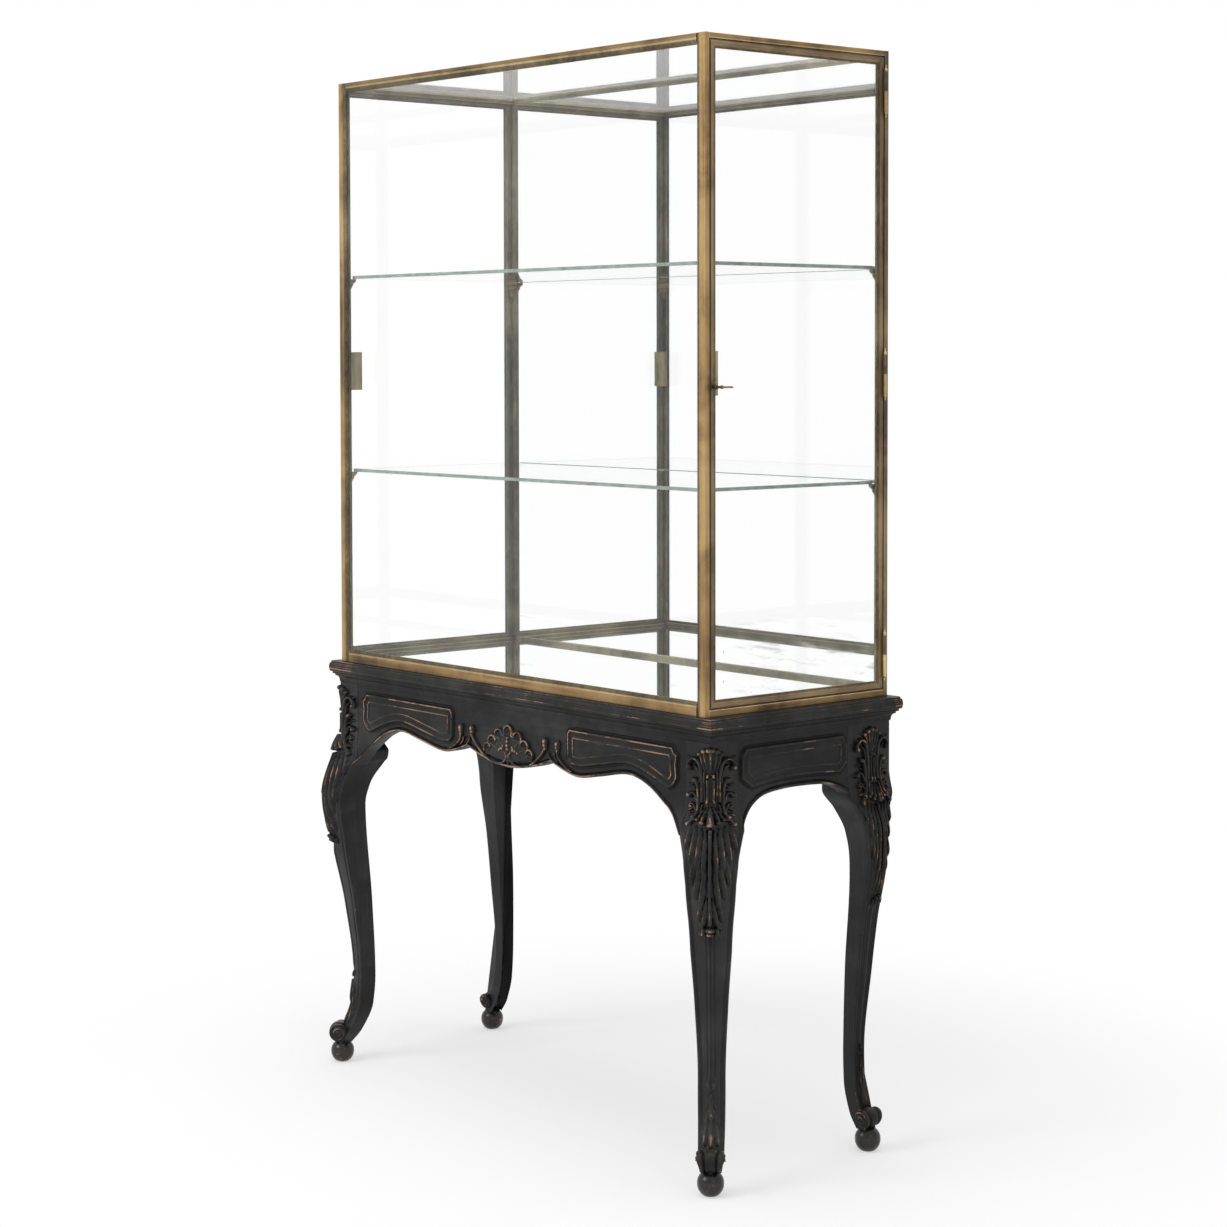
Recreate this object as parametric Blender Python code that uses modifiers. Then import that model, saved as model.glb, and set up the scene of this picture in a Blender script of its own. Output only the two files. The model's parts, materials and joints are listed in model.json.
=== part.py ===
"""Display vitrine: a brass-framed glass case with two side doors, on a carved and ebonised table stand.

Frame: metres, +Z up, front towards -Y. The origin is on the floor, at the centre of the whole object's box.
Case coordinates have their zero at the middle of the case; the root empty carries them to that origin.
"""

import math

import bmesh
import bpy
from mathutils import Matrix, Vector

# Clearances
FIT = 0.0003
DOOR_GAP = 0.001
HINGE_GAP = 0.003

# Table stand
TABLE_H = 0.777
TOP_MARGIN_X = 0.026
TOP_MARGIN_Y = 0.0125
FRIEZE_SET_X = 0.0165
FRIEZE_SET_Y = 0.015
TORUS_H = 0.026
TORUS_ROUND = 0.009
COVE_H = 0.015
APRON_T = 0.022
BLOCK_SIDE = 0.0592
BACK_LEG_INSET = 0.0525
BACK_CARVING = 0.72
LOBE_DROP = 0.143
CUSP_DROP = 0.119
DIP_DROP = 0.137
ARCH_DROP = 0.116
SIDE_ARCH_DROP = 0.131
BACK_ARCH_DROP = 0.121
EAR_DROP = 0.187
BACK_EAR_DROP = 0.157
PANEL_RISE = 0.003
PANEL_BORDER = 0.012
SHELL_R = 0.061
SHELL_TALL = 0.72
SHELL_DEEP = 0.011
SHELL_LOBES = 7

# Feet
BALL_R = 0.0222
BALL_H = 0.040
BALL_NECK_R = 0.0180
BALL_FLAT_R = 0.009
FRONT_SCROLL_R = 0.0178
FRONT_SCROLL_L = 0.050
BACK_SCROLL_R = 0.0155
BACK_SCROLL_L = 0.044
SCROLL_Z = 0.057
FRONT_SCROLL_OUT = 0.0055
BACK_SCROLL_OUT = 0.002

# Case frame
CASE_W = 1.034
CASE_D = 0.422
CASE_H = 1.100
POST_FACE = 0.022
POST_BODY = 0.0169
POST_DEEP = 0.009
GLASS_SEAT = 0.0035
CHANNEL = 0.0054
LUG_IN = 0.0115
LUG_OUT = 0.020
LUG_T = 0.0026
TOP_RAIL_H = 0.019
BOTTOM_RAIL_H = 0.024
BOTTOM_BODY_H = 0.016
SIDE_TOP_H = 0.0096
SIDE_BOTTOM_H = 0.0117
LEDGE_W = 0.005
PANE_T = 0.005
MIRROR_T = 0.0033
BACKING_T = 0.0016
BASE_T = 0.008
FLOOR_MIRROR_T = 0.004

# Shelves and their corbels
SHELF_T = 0.006
LOWER_SHELF_Z = 0.366
UPPER_SHELF_Z = 0.733
SHELF_SIDE_INSET = 0.020
SHELF_END_INSET = 0.018
CORBEL_R = 0.017
CORBEL_H = 0.029

# Doors
DOOR_T = 0.011
STILE_W = 0.014
DOOR_GLASS_T = 0.004
DOOR_LIP = 0.0035
DOOR_OVERLAP = 0.0035

# Lock and key
LOCK_Z = 0.555
LOCK_H = 0.072
LOCK_W = 0.0245
LOCK_T = 0.0117
LOCK_WALL = 0.0012
LOCK_SET = 0.0025
KEY_DROP = 0.022
BOLT_T = 0.0035
BOLT_H = 0.014
BOLT_L = 0.020
BOLT_THROW = 0.007
BOLT_PLAY = 0.0005
STEM_R = 0.002
KEYHOLE_R = 0.003
ROSETTE_R = 0.0068
ROSETTE_T = 0.0012
KEY_OUT = 0.044
BOW_R = 0.009
BOW_WIRE = 0.0017
BIT_REACH = 0.0046
BIT_L = 0.004

# Hinges
HINGE_INSET = 0.0583
KNUCKLE_R = 0.0034
KNUCKLE_L = 0.033
BORE_R = 0.0021
PIN_R = 0.0016
FINIAL_H = 0.012
LEAF_T = 0.0008
LEAF_W = 0.0085

ROOT2 = math.sqrt(2.0)
HALF_W = CASE_W / 2
HALF_D = CASE_D / 2
CASE_Z0 = TABLE_H + FIT
CASE_Z1 = CASE_Z0 + CASE_H
TOP_X = HALF_W + TOP_MARGIN_X
TOP_Y = HALF_D + TOP_MARGIN_Y
FRIEZE_X = TOP_X - FRIEZE_SET_X
FRIEZE_Y = TOP_Y - FRIEZE_SET_Y
TOP_T = TORUS_H + COVE_H
LEG_TOP = TABLE_H - TOP_T - FIT
LEG_FOOT = BALL_H - 0.003
APRON_LOW = TABLE_H - LOBE_DROP
APRON_CUSP = TABLE_H - CUSP_DROP
APRON_DIP = TABLE_H - DIP_DROP
APRON_ARCH = TABLE_H - ARCH_DROP
SIDE_ARCH = TABLE_H - SIDE_ARCH_DROP
BACK_ARCH = TABLE_H - BACK_ARCH_DROP
EAR_LOW = TABLE_H - EAR_DROP
BACK_EAR_LOW = TABLE_H - BACK_EAR_DROP
DOOR_FRONT = -HALF_D + POST_DEEP + DOOR_GAP
DOOR_BACK = HALF_D - POST_DEEP - HINGE_GAP
DOOR_Z0 = CASE_Z0 + SIDE_BOTTOM_H + DOOR_GAP
DOOR_Z1 = CASE_Z1 - SIDE_TOP_H - DOOR_GAP
HINGE_X = HALF_W + KNUCKLE_R + FIT
HINGE_Y = DOOR_BACK + HINGE_GAP / 2
KEY_Y = DOOR_FRONT + STILE_W / 2
LOCK_MID = CASE_Z0 + LOCK_Z
KEY_Z = LOCK_MID - KEY_DROP
BOLT_Z = LOCK_MID
# The scroll feet reach furthest forward and the table top furthest back; the origin lies between them.
FRONT_REACH = FRIEZE_Y + (FRONT_SCROLL_OUT + FRONT_SCROLL_R + FRONT_SCROLL_L / 2) / ROOT2
CASE_Y = (FRONT_REACH - TOP_Y) / 2

for old in list(bpy.data.objects):
    bpy.data.objects.remove(old, do_unlink=True)

parts = bpy.data.collections.new("vitrine")
cutters = bpy.data.collections.new("vitrine_cutters")
bpy.context.scene.collection.children.link(parts)
bpy.context.scene.collection.children.link(cutters)


def material(name, colour, roughness, metallic=0.0, transmission=0.0):
    made = bpy.data.materials.new(name)
    made.use_nodes = True
    shader = made.node_tree.nodes["Principled BSDF"]
    shader.inputs["Base Color"].default_value = (*colour, 1.0)
    shader.inputs["Roughness"].default_value = roughness
    shader.inputs["Metallic"].default_value = metallic
    shader.inputs["Transmission Weight"].default_value = transmission
    return made


EBONY = material("ebonised_wood", (0.030, 0.029, 0.028), 0.45)
BRASS = material("aged_brass", (0.42, 0.29, 0.14), 0.38, metallic=1.0)
BRIGHT = material("polished_brass", (0.62, 0.45, 0.20), 0.25, metallic=1.0)
GLASS = material("clear_glass", (0.90, 0.95, 0.93), 0.02, transmission=1.0)
MIRROR = material("antique_mirror", (0.80, 0.80, 0.78), 0.06, metallic=1.0)
PINE = material("backing_wood", (0.36, 0.25, 0.15), 0.7)


def empty(name, at, parent=None):
    """An empty at a point given in case coordinates."""
    made = bpy.data.objects.new(name, None)
    made.empty_display_size = 0.03
    made["case_point"] = tuple(at)
    made.parent = parent
    base = Vector(parent["case_point"]) if parent else Vector((0, -CASE_Y, 0))
    made.location = Vector(at) - base
    parts.objects.link(made)
    return made


def piece(name, mesh, look, body):
    """A named part whose mesh is in case coordinates, carried by the empty of its body."""
    made = bpy.data.objects.new(name, mesh)
    mesh.materials.clear()
    mesh.materials.append(look)
    mesh.shade_smooth()
    mesh.set_sharp_from_angle(angle=math.radians(32))
    made.parent = body
    made.location = -Vector(body["case_point"])
    parts.objects.link(made)
    return made


def helper(name, mesh, body):
    """A shape that a Boolean adds or takes away."""
    made = bpy.data.objects.new(name, mesh)
    made.hide_render = True
    made.display_type = "WIRE"
    made.parent = body
    made.location = -Vector(body["case_point"])
    cutters.objects.link(made)
    return made


def combine(target, mesh, operation):
    number = len(target.modifiers) + 1
    other = helper(f"{target.name}_{operation.lower()}_{number}", mesh, target.parent)
    step = target.modifiers.new(f"{operation.title()} {number}", "BOOLEAN")
    step.operation = operation
    step.object = other


def add(target, mesh):
    combine(target, mesh, "UNION")


def cut(target, mesh):
    combine(target, mesh, "DIFFERENCE")


def to_mesh(bm, name):
    bmesh.ops.recalc_face_normals(bm, faces=bm.faces)
    mesh = bpy.data.meshes.new(name)
    bm.to_mesh(mesh)
    bm.free()
    return mesh


def box(low, high, name="box"):
    """A box between two corners given in any order."""
    bm = bmesh.new()
    bmesh.ops.create_cube(bm, size=1.0)
    size = [abs(b - a) for a, b in zip(low, high)]
    middle = [(a + b) / 2 for a, b in zip(low, high)]
    bmesh.ops.scale(bm, vec=size, verts=bm.verts)
    bmesh.ops.translate(bm, vec=middle, verts=bm.verts)
    return to_mesh(bm, name)


def rod(start, end, radius, sides=16, turn=0.0):
    """A round bar; turn spins its facets about its own axis."""
    start = Vector(start)
    run = Vector(end) - start
    aim = run.to_track_quat("Z", "Y").to_matrix().to_4x4() @ Matrix.Rotation(turn, 4, "Z")
    bm = bmesh.new()
    bmesh.ops.create_cone(
        bm, cap_ends=True, segments=sides, radius1=radius, radius2=radius, depth=run.length
    )
    bmesh.ops.transform(bm, matrix=Matrix.Translation(start + run / 2) @ aim, verts=bm.verts)
    return to_mesh(bm, "rod")


def evaluated_mesh(made, name):
    """The mesh that an object's curve or modifiers give, welded; the object itself goes."""
    bpy.context.view_layer.update()
    graph = bpy.context.evaluated_depsgraph_get()
    mesh = bpy.data.meshes.new_from_object(made.evaluated_get(graph))
    bpy.data.objects.remove(made, do_unlink=True)
    bm = bmesh.new()
    bm.from_mesh(mesh)
    bmesh.ops.remove_doubles(bm, verts=bm.verts, dist=1e-6)
    bpy.data.meshes.remove(mesh)
    return to_mesh(bm, name)


def turned(profile, at, steps=16, name="turned"):
    """A profile of (radius, height), top to bottom, turned round a vertical axis."""
    bm = bmesh.new()
    points = [bm.verts.new((radius, 0, height)) for radius, height in profile]
    for first, second in zip(points, points[1:]):
        bm.edges.new((first, second))
    mesh = bpy.data.meshes.new(name)
    bm.to_mesh(mesh)
    bm.free()
    made = bpy.data.objects.new(name, mesh)
    cutters.objects.link(made)
    screw = made.modifiers.new("Turn", "SCREW")
    screw.axis = "Z"
    screw.steps = steps
    screw.render_steps = steps
    screw.use_merge_vertices = True
    screw.merge_threshold = 1e-5
    solid = evaluated_mesh(made, name)
    solid.transform(Matrix.Translation(Vector(at)))
    return solid


def outline(points, thickness, plane, name="outline", steps=5):
    """A flat outline of (u, v) or (u, v, 'smooth'), made thick and set in space by the matrix plane."""
    data = bpy.data.curves.new(name, "CURVE")
    data.dimensions = "2D"
    data.fill_mode = "BOTH"
    data.extrude = thickness / 2
    data.resolution_u = steps
    spline = data.splines.new("BEZIER")
    spline.bezier_points.add(len(points) - 1)
    spline.use_cyclic_u = True
    for knot, point in zip(spline.bezier_points, points):
        kind = "AUTO" if len(point) > 2 else "VECTOR"
        knot.co = (point[0], point[1], 0)
        knot.handle_left_type = kind
        knot.handle_right_type = kind
    made = bpy.data.objects.new(name, data)
    cutters.objects.link(made)
    mesh = evaluated_mesh(made, name)
    bm = bmesh.new()
    bm.from_mesh(mesh)
    bmesh.ops.transform(bm, matrix=plane, verts=bm.verts)
    bpy.data.meshes.remove(mesh)
    return to_mesh(bm, name)


def axes(u, v, at):
    """The matrix that lays an outline's u and v along two directions, centred in thickness on a point."""
    u = Vector(u)
    v = Vector(v)
    turn = Matrix((u, v, u.cross(v))).transposed().to_4x4()
    return Matrix.Translation(Vector(at)) @ turn


def loft(rings, name="loft"):
    """A closed skin over rings that have the same number of points."""
    bm = bmesh.new()
    loops = [[bm.verts.new(point) for point in ring] for ring in rings]
    count = len(rings[0])
    for lower, upper in zip(loops, loops[1:]):
        for i in range(count):
            j = (i + 1) % count
            bm.faces.new((lower[i], lower[j], upper[j], upper[i]))
    bm.faces.new(loops[0])
    bm.faces.new(loops[-1])
    return to_mesh(bm, name)


def flow(knots, at):
    """A smooth line through (position, value) knots, with no overshoot between them."""
    knots = sorted(knots)
    if at <= knots[0][0]:
        return knots[0][1]
    if at >= knots[-1][0]:
        return knots[-1][1]
    slopes = [(b[1] - a[1]) / (b[0] - a[0]) for a, b in zip(knots, knots[1:])]
    ends = [slopes[0]]
    for before, after in zip(slopes, slopes[1:]):
        level = before * after <= 0
        ends.append(0.0 if level else 2 * before * after / (before + after))
    ends.append(slopes[-1])
    for i, (first, second) in enumerate(zip(knots, knots[1:])):
        if at <= second[0]:
            run = second[0] - first[0]
            t = (at - first[0]) / run
            keep = 2 * t**3 - 3 * t**2 + 1
            leave = t**3 - 2 * t**2 + t
            arrive = t**3 - t**2
            return (
                keep * first[1]
                + leave * run * ends[i]
                + (1 - keep) * second[1]
                + arrive * run * ends[i + 1]
            )


root = empty("vitrine_root", (0, 0, 0))


# Table top: a torus edge over a cove, as one moulded slab.
def table_top():
    edge = []
    for i in range(9):
        turn = math.radians(90 - 22.5 * i)
        edge.append((TORUS_ROUND * (math.cos(turn) - 1), TORUS_H / 2 * (math.sin(turn) - 1)))
    fillet = -TORUS_ROUND + 0.0005
    edge[-1] = (edge[-1][0], -TORUS_H)
    edge.append((fillet, -TORUS_H - 0.003))
    for i in range(1, 5):
        turn = math.radians(22.5 * i)
        drop = (COVE_H - 0.003) * (1 - math.cos(turn))
        edge.append((fillet - 0.0065 * math.sin(turn), -TORUS_H - 0.003 - drop))
    rings = []
    for back, z in edge:
        x = TOP_X + back
        y = TOP_Y + back
        height = TABLE_H + z
        rings.append([(-x, -y, height), (x, -y, height), (x, y, height), (-x, y, height)])
    piece("table_top", loft(rings, "table_top"), EBONY, root)


table_top()


# Cabriole legs. Each curve gives a distance outwards from the foot's centre line at a height.
def leg_z(share):
    """A height on a leg, as a share of the leg's own height."""
    return share * LEG_TOP


FRONT_OUTER = (
    (LEG_TOP, 0.0), (leg_z(0.890), 0.0), (leg_z(0.700), 0.035), (leg_z(0.544), 0.0125),
    (leg_z(0.421), -0.007), (leg_z(0.238), -0.0228), (leg_z(0.156), -0.019), (LEG_FOOT, 0.014),
)
FRONT_INNER = (
    (LEG_TOP, -BLOCK_SIDE * ROOT2), (EAR_LOW, -BLOCK_SIDE * ROOT2), (leg_z(0.734), -0.056),
    (leg_z(0.680), -0.0475), (leg_z(0.421), -0.0597), (leg_z(0.231), -0.065),
    (leg_z(0.156), -0.0605), (SCROLL_Z + 0.005, -0.038), (LEG_FOOT, -0.018),
)
FRONT_CHAMFER = ((LEG_TOP, 0.0006), (leg_z(0.612), 0.0006), (leg_z(0.530), 0.0034), (LEG_FOOT, 0.0036))
BACK_OUTER = (
    (LEG_TOP, 0.0), (leg_z(0.890), 0.0), (leg_z(0.700), 0.017), (leg_z(0.544), -0.0005),
    (leg_z(0.421), -0.011), (leg_z(0.238), -0.024), (leg_z(0.156), -0.0205), (LEG_FOOT, 0.008),
)
BACK_INNER = (
    (LEG_TOP, -BLOCK_SIDE), (BACK_EAR_LOW, -BLOCK_SIDE), (leg_z(0.800), -0.047), (leg_z(0.748), -0.0345),
    (leg_z(0.680), -0.029), (leg_z(0.421), -0.043), (leg_z(0.231), -0.0485), (leg_z(0.156), -0.046),
    (SCROLL_Z + 0.005, -0.031), (LEG_FOOT, -0.014),
)
BACK_HALF = (
    (LEG_TOP, BACK_LEG_INSET), (BACK_EAR_LOW, BACK_LEG_INSET), (leg_z(0.800), 0.0375), (leg_z(0.748), 0.0265),
    (leg_z(0.680), 0.0225), (leg_z(0.544), 0.0188), (leg_z(0.408), 0.0170), (leg_z(0.245), 0.0140),
    (LEG_FOOT, 0.0135),
)
# A back leg's shin also stands a little further back than its block and its foot.
BACK_LEAN = (
    (LEG_TOP, 0.0), (BACK_EAR_LOW, 0.0), (leg_z(0.700), 0.006), (leg_z(0.421), 0.0045), (leg_z(0.238), 0.003),
    (LEG_FOOT, 0.0),
)
# Section heights: the square block at the top needs two, and the curve below it an even row of them.
BLOCK_LOW = leg_z(0.897)
LEG_ROWS = 25
LEG_HEIGHTS = [BLOCK_LOW + (LEG_FOOT - BLOCK_LOW) * row / (LEG_ROWS - 1) for row in range(LEG_ROWS)]
LEG_HEIGHTS = sorted([LEG_TOP, BACK_EAR_LOW, EAR_LOW, *LEG_HEIGHTS], reverse=True)
# The knee's carving: half width and rise of the leaf over the wood, from the cartouche to the leaf tip.
LEAF_HALF = (
    (leg_z(0.973), 0.016), (leg_z(0.938), 0.033), (leg_z(0.897), 0.036), (leg_z(0.859), 0.020),
    (leg_z(0.816), 0.034), (leg_z(0.748), 0.031), (leg_z(0.680), 0.023), (leg_z(0.625), 0.014),
    (leg_z(0.585), 0.005),
)
LEAF_RISE = (
    (leg_z(0.973), 0.002), (leg_z(0.938), 0.008), (leg_z(0.897), 0.009), (leg_z(0.859), 0.004),
    (leg_z(0.816), 0.006), (leg_z(0.748), 0.007), (leg_z(0.680), 0.006), (leg_z(0.618), 0.009),
    (leg_z(0.585), 0.0025),
)
LEAF_TOP = leg_z(0.973)
LEAF_TIP = leg_z(0.585)
LEAF_ROWS = 16
LEAF_HEIGHTS = [LEAF_TOP + (LEAF_TIP - LEAF_TOP) * row / (LEAF_ROWS - 1) for row in range(LEAF_ROWS)]
LEAF_RIBS = 5
# The eyes of the cartouche's scrolls and the knob at the leaf's tip: height, half spread and radius.
SCROLL_EYES = (
    (leg_z(0.952), 0.0345, 0.0060), (leg_z(0.908), 0.0330, 0.0055), (leg_z(0.870), 0.0270, 0.0055),
)
TIP_KNOB = (leg_z(0.601), 0.0070)
EYE_RISE = 0.0075
EYE_SINK = 0.004
EYE_SIDES = 8
EYE_TURN = math.pi / EYE_SIDES


def leaf_rings(place, corner):
    """Rings of the leaf: place(height, out, across) sets a point; corner is 1 on a leg's edge, 0 on a face."""
    rings = []
    for z in LEAF_HEIGHTS:
        half = flow(LEAF_HALF, z)
        rise = flow(LEAF_RISE, z)
        ring = []
        for i in range(2 * LEAF_RIBS + 1):
            t = i / LEAF_RIBS - 1
            swell = math.cos(t * math.pi / 2) ** 0.6
            rib = 0.72 + 0.28 * math.cos(math.pi * (i - LEAF_RIBS))
            out = rise * swell * rib - 0.001 - corner * half * abs(t)
            ring.append(place(z, out, half * t))
        ring.append(place(z, -0.006 - corner * half, half * 0.9))
        ring.append(place(z, -0.006 - corner * half, -half * 0.9))
        rings.append(ring)
    return rings


def carved_eyes(leg, place, out, corner):
    """The round eyes that end the cartouche's scrolls, and the knob under the leaf."""
    for z, spread, radius in SCROLL_EYES:
        for side in (-1, 1):
            seat = place(z, -corner * spread, side * spread)
            add(leg, rod(seat - out * EYE_SINK, seat + out * EYE_RISE, radius, EYE_SIDES, EYE_TURN))
    z, radius = TIP_KNOB
    seat = place(z, 0.0, 0.0)
    add(leg, rod(seat - out * EYE_SINK, seat + out * 1.25 * EYE_RISE, radius, EYE_SIDES, EYE_TURN))


def scroll_foot(leg, at, out, across, radius, length, reach_out):
    """The scroll that ends a leg, with a raised eye on each side, and the ball under it."""
    middle = at + out * reach_out + Vector((0, 0, SCROLL_Z))
    add(leg, rod(middle - across * length / 2, middle + across * length / 2, radius, 20))
    reach = across * (length / 2 + 0.002)
    add(leg, rod(middle - reach, middle + reach, radius * 0.45, 12))
    ball = [(0.0, BALL_H), (BALL_NECK_R, BALL_H)]
    for i in range(6):
        turn = math.radians(32 - 18 * i)
        ball.append((BALL_R * math.cos(turn), BALL_H / 2 * (0.95 + 1.1 * math.sin(turn))))
    ball.append((BALL_FLAT_R, 0.0))
    ball.append((0.0, 0.0))
    add(leg, turned(ball, at, 16))


def front_leg(name, side):
    foot = Vector((side * FRIEZE_X, -FRIEZE_Y, 0))
    out = Vector((side, -1, 0)) / ROOT2
    across = Vector((1, side, 0)) / ROOT2

    def point(z, s, t):
        return foot + out * s + across * t + Vector((0, 0, z))

    rings = []
    for z in LEG_HEIGHTS:
        outer = flow(FRONT_OUTER, z)
        inner = flow(FRONT_INNER, z)
        nick = flow(FRONT_CHAMFER, z)
        half = (outer + nick - inner) / 2
        rings.append(
            [
                point(z, inner, 0),
                point(z, inner + half, half),
                point(z, outer, nick),
                point(z, outer, -nick),
                point(z, inner + half, -half),
            ]
        )
    leg = piece(name, loft(rings, name), EBONY, root)

    def on_knee(z, s, t):
        return point(z, flow(FRONT_OUTER, z) + s, t)

    add(leg, loft(leaf_rings(on_knee, 1.0)))
    carved_eyes(leg, on_knee, out, 1.0)
    scroll_foot(leg, foot, out, across, FRONT_SCROLL_R, FRONT_SCROLL_L, FRONT_SCROLL_OUT)


def back_leg(name, side):
    foot = Vector((side * FRIEZE_X, FRIEZE_Y - BACK_LEG_INSET, 0))
    out = Vector((side, 0, 0))
    across = Vector((0, 1, 0))

    def point(z, s, t):
        return foot + out * s + across * (t + flow(BACK_LEAN, z)) + Vector((0, 0, z))

    rings = []
    for z in LEG_HEIGHTS:
        outer = flow(BACK_OUTER, z)
        inner = flow(BACK_INNER, z)
        half = flow(BACK_HALF, z)
        nick = 0.0025
        rings.append(
            [
                point(z, inner, -half),
                point(z, outer - nick, -half),
                point(z, outer, nick - half),
                point(z, outer, half - nick),
                point(z, outer - nick, half),
                point(z, inner, half),
            ]
        )
    leg = piece(name, loft(rings, name), EBONY, root)

    def on_knee(z, s, t):
        return point(z, flow(BACK_OUTER, z) + s, t * BACK_CARVING)

    add(leg, loft(leaf_rings(on_knee, 0.0)))
    carved_eyes(leg, on_knee, out, 0.0)
    scroll_foot(leg, foot, out, across, BACK_SCROLL_R, BACK_SCROLL_L, BACK_SCROLL_OUT)


front_leg("front_left_leg", -1)
front_leg("front_right_leg", 1)
back_leg("back_left_leg", -1)
back_leg("back_right_leg", 1)


# Aprons: shaped boards between the leg blocks, with raised panels that follow their lower edge.
def front_edge(half):
    """The front apron's lower edge from its middle to one end: a shell lobe, a cusp, a dip, an arch and an ear."""
    return [
        (0.0, APRON_LOW, "smooth"),
        (half * 0.15, APRON_LOW + 0.009, "smooth"),
        (half * 0.258, APRON_CUSP),
        (half * 0.335, APRON_DIP + 0.006, "smooth"),
        (half * 0.42, APRON_DIP, "smooth"),
        (half * 0.54, APRON_DIP + 0.009, "smooth"),
        (half * 0.69, APRON_ARCH, "smooth"),
        (half * 0.80, APRON_ARCH - 0.011, "smooth"),
        (half * 0.90, APRON_ARCH - 0.039, "smooth"),
        (half * 0.96, EAR_LOW + 0.006, "smooth"),
        (half, EAR_LOW),
    ]


def front_apron():
    half = FRIEZE_X - BLOCK_SIDE - FIT
    edge = front_edge(half)
    left = [(-p[0], *p[1:]) for p in reversed(edge[1:])]
    points = [(half, LEG_TOP), (-half, LEG_TOP), *left, *edge]
    face = -FRIEZE_Y
    plane = axes((1, 0, 0), (0, 0, 1), (0, face + APRON_T / 2, 0))
    board = piece("front_apron", outline(points, APRON_T, plane), EBONY, root)
    top = LEG_TOP - 0.022
    for side in (-1, 1):
        panel = [
            (side * half * 0.355, top),
            (side * half * 0.935, top),
            (side * half * 0.955, top - 0.020, "smooth"),
            (side * half * 0.915, top - 0.045, "smooth"),
            (side * half * 0.88, APRON_ARCH - 0.026 + PANEL_BORDER, "smooth"),
            (side * half * 0.80, APRON_ARCH - 0.010 + PANEL_BORDER, "smooth"),
            (side * half * 0.69, APRON_ARCH + PANEL_BORDER, "smooth"),
            (side * half * 0.54, APRON_DIP + 0.010 + PANEL_BORDER, "smooth"),
            (side * half * 0.43, APRON_DIP + PANEL_BORDER, "smooth"),
            (side * half * 0.355, APRON_DIP + 0.004 + PANEL_BORDER),
        ]
        lift = axes((1, 0, 0), (0, 0, 1), (0, face, 0))
        add(board, outline(panel, 2 * PANEL_RISE, lift, steps=4))


def side_apron(name, side):
    front = -FRIEZE_Y + BLOCK_SIDE + FIT
    back = FRIEZE_Y - 2 * BACK_LEG_INSET - FIT
    middle = (front + back) / 2
    half = (back - front) / 2
    drop = SIDE_ARCH - EAR_LOW
    rise = [
        (0.0, SIDE_ARCH, "smooth"),
        (half * 0.50, SIDE_ARCH - drop * 0.09, "smooth"),
        (half * 0.74, SIDE_ARCH - drop * 0.34, "smooth"),
        (half * 0.92, SIDE_ARCH - drop * 0.72, "smooth"),
        (half, EAR_LOW),
    ]
    # The back end meets the back leg higher up than the front end meets the front leg.
    share = (SIDE_ARCH - BACK_EAR_LOW) / drop
    back_end = [(p[0], SIDE_ARCH - (SIDE_ARCH - p[1]) * share, *p[2:]) for p in rise]
    other = [(-p[0], *p[1:]) for p in reversed(rise[1:])]
    points = [(half, LEG_TOP), (-half, LEG_TOP), *other, *back_end]
    face = side * FRIEZE_X
    plane = axes((0, 1, 0), (0, 0, 1), (face - side * APRON_T / 2, middle, 0))
    board = piece(name, outline(points, APRON_T, plane), EBONY, root)
    top = LEG_TOP - 0.022
    ends = half * 0.93
    panel = [
        (-ends + 0.008, top),
        (ends - 0.008, top),
        (ends - 0.008, top - 0.010),
        (ends, top - 0.018),
        (ends, top - 0.050),
        (half * 0.74, SIDE_ARCH - drop * 0.30 * share + PANEL_BORDER, "smooth"),
        (half * 0.45, SIDE_ARCH - drop * 0.06 * share + PANEL_BORDER, "smooth"),
        (-half * 0.45, SIDE_ARCH - drop * 0.06 + PANEL_BORDER, "smooth"),
        (-half * 0.74, SIDE_ARCH - drop * 0.30 + PANEL_BORDER, "smooth"),
        (-ends, top - 0.050),
        (-ends, top - 0.018),
        (-ends + 0.008, top - 0.010),
    ]
    lift = axes((0, 1, 0), (0, 0, 1), (face, middle, 0))
    add(board, outline(panel, 2 * PANEL_RISE, lift, steps=4))


def back_apron():
    half = FRIEZE_X - BLOCK_SIDE - FIT
    points = [
        (half, LEG_TOP),
        (-half, LEG_TOP),
        (-half, BACK_EAR_LOW),
        (-half * 0.9, BACK_ARCH, "smooth"),
        (half * 0.9, BACK_ARCH, "smooth"),
        (half, BACK_EAR_LOW),
    ]
    plane = axes((1, 0, 0), (0, 0, 1), (0, FRIEZE_Y - APRON_T / 2, 0))
    piece("back_apron", outline(points, APRON_T, plane), EBONY, root)


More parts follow.
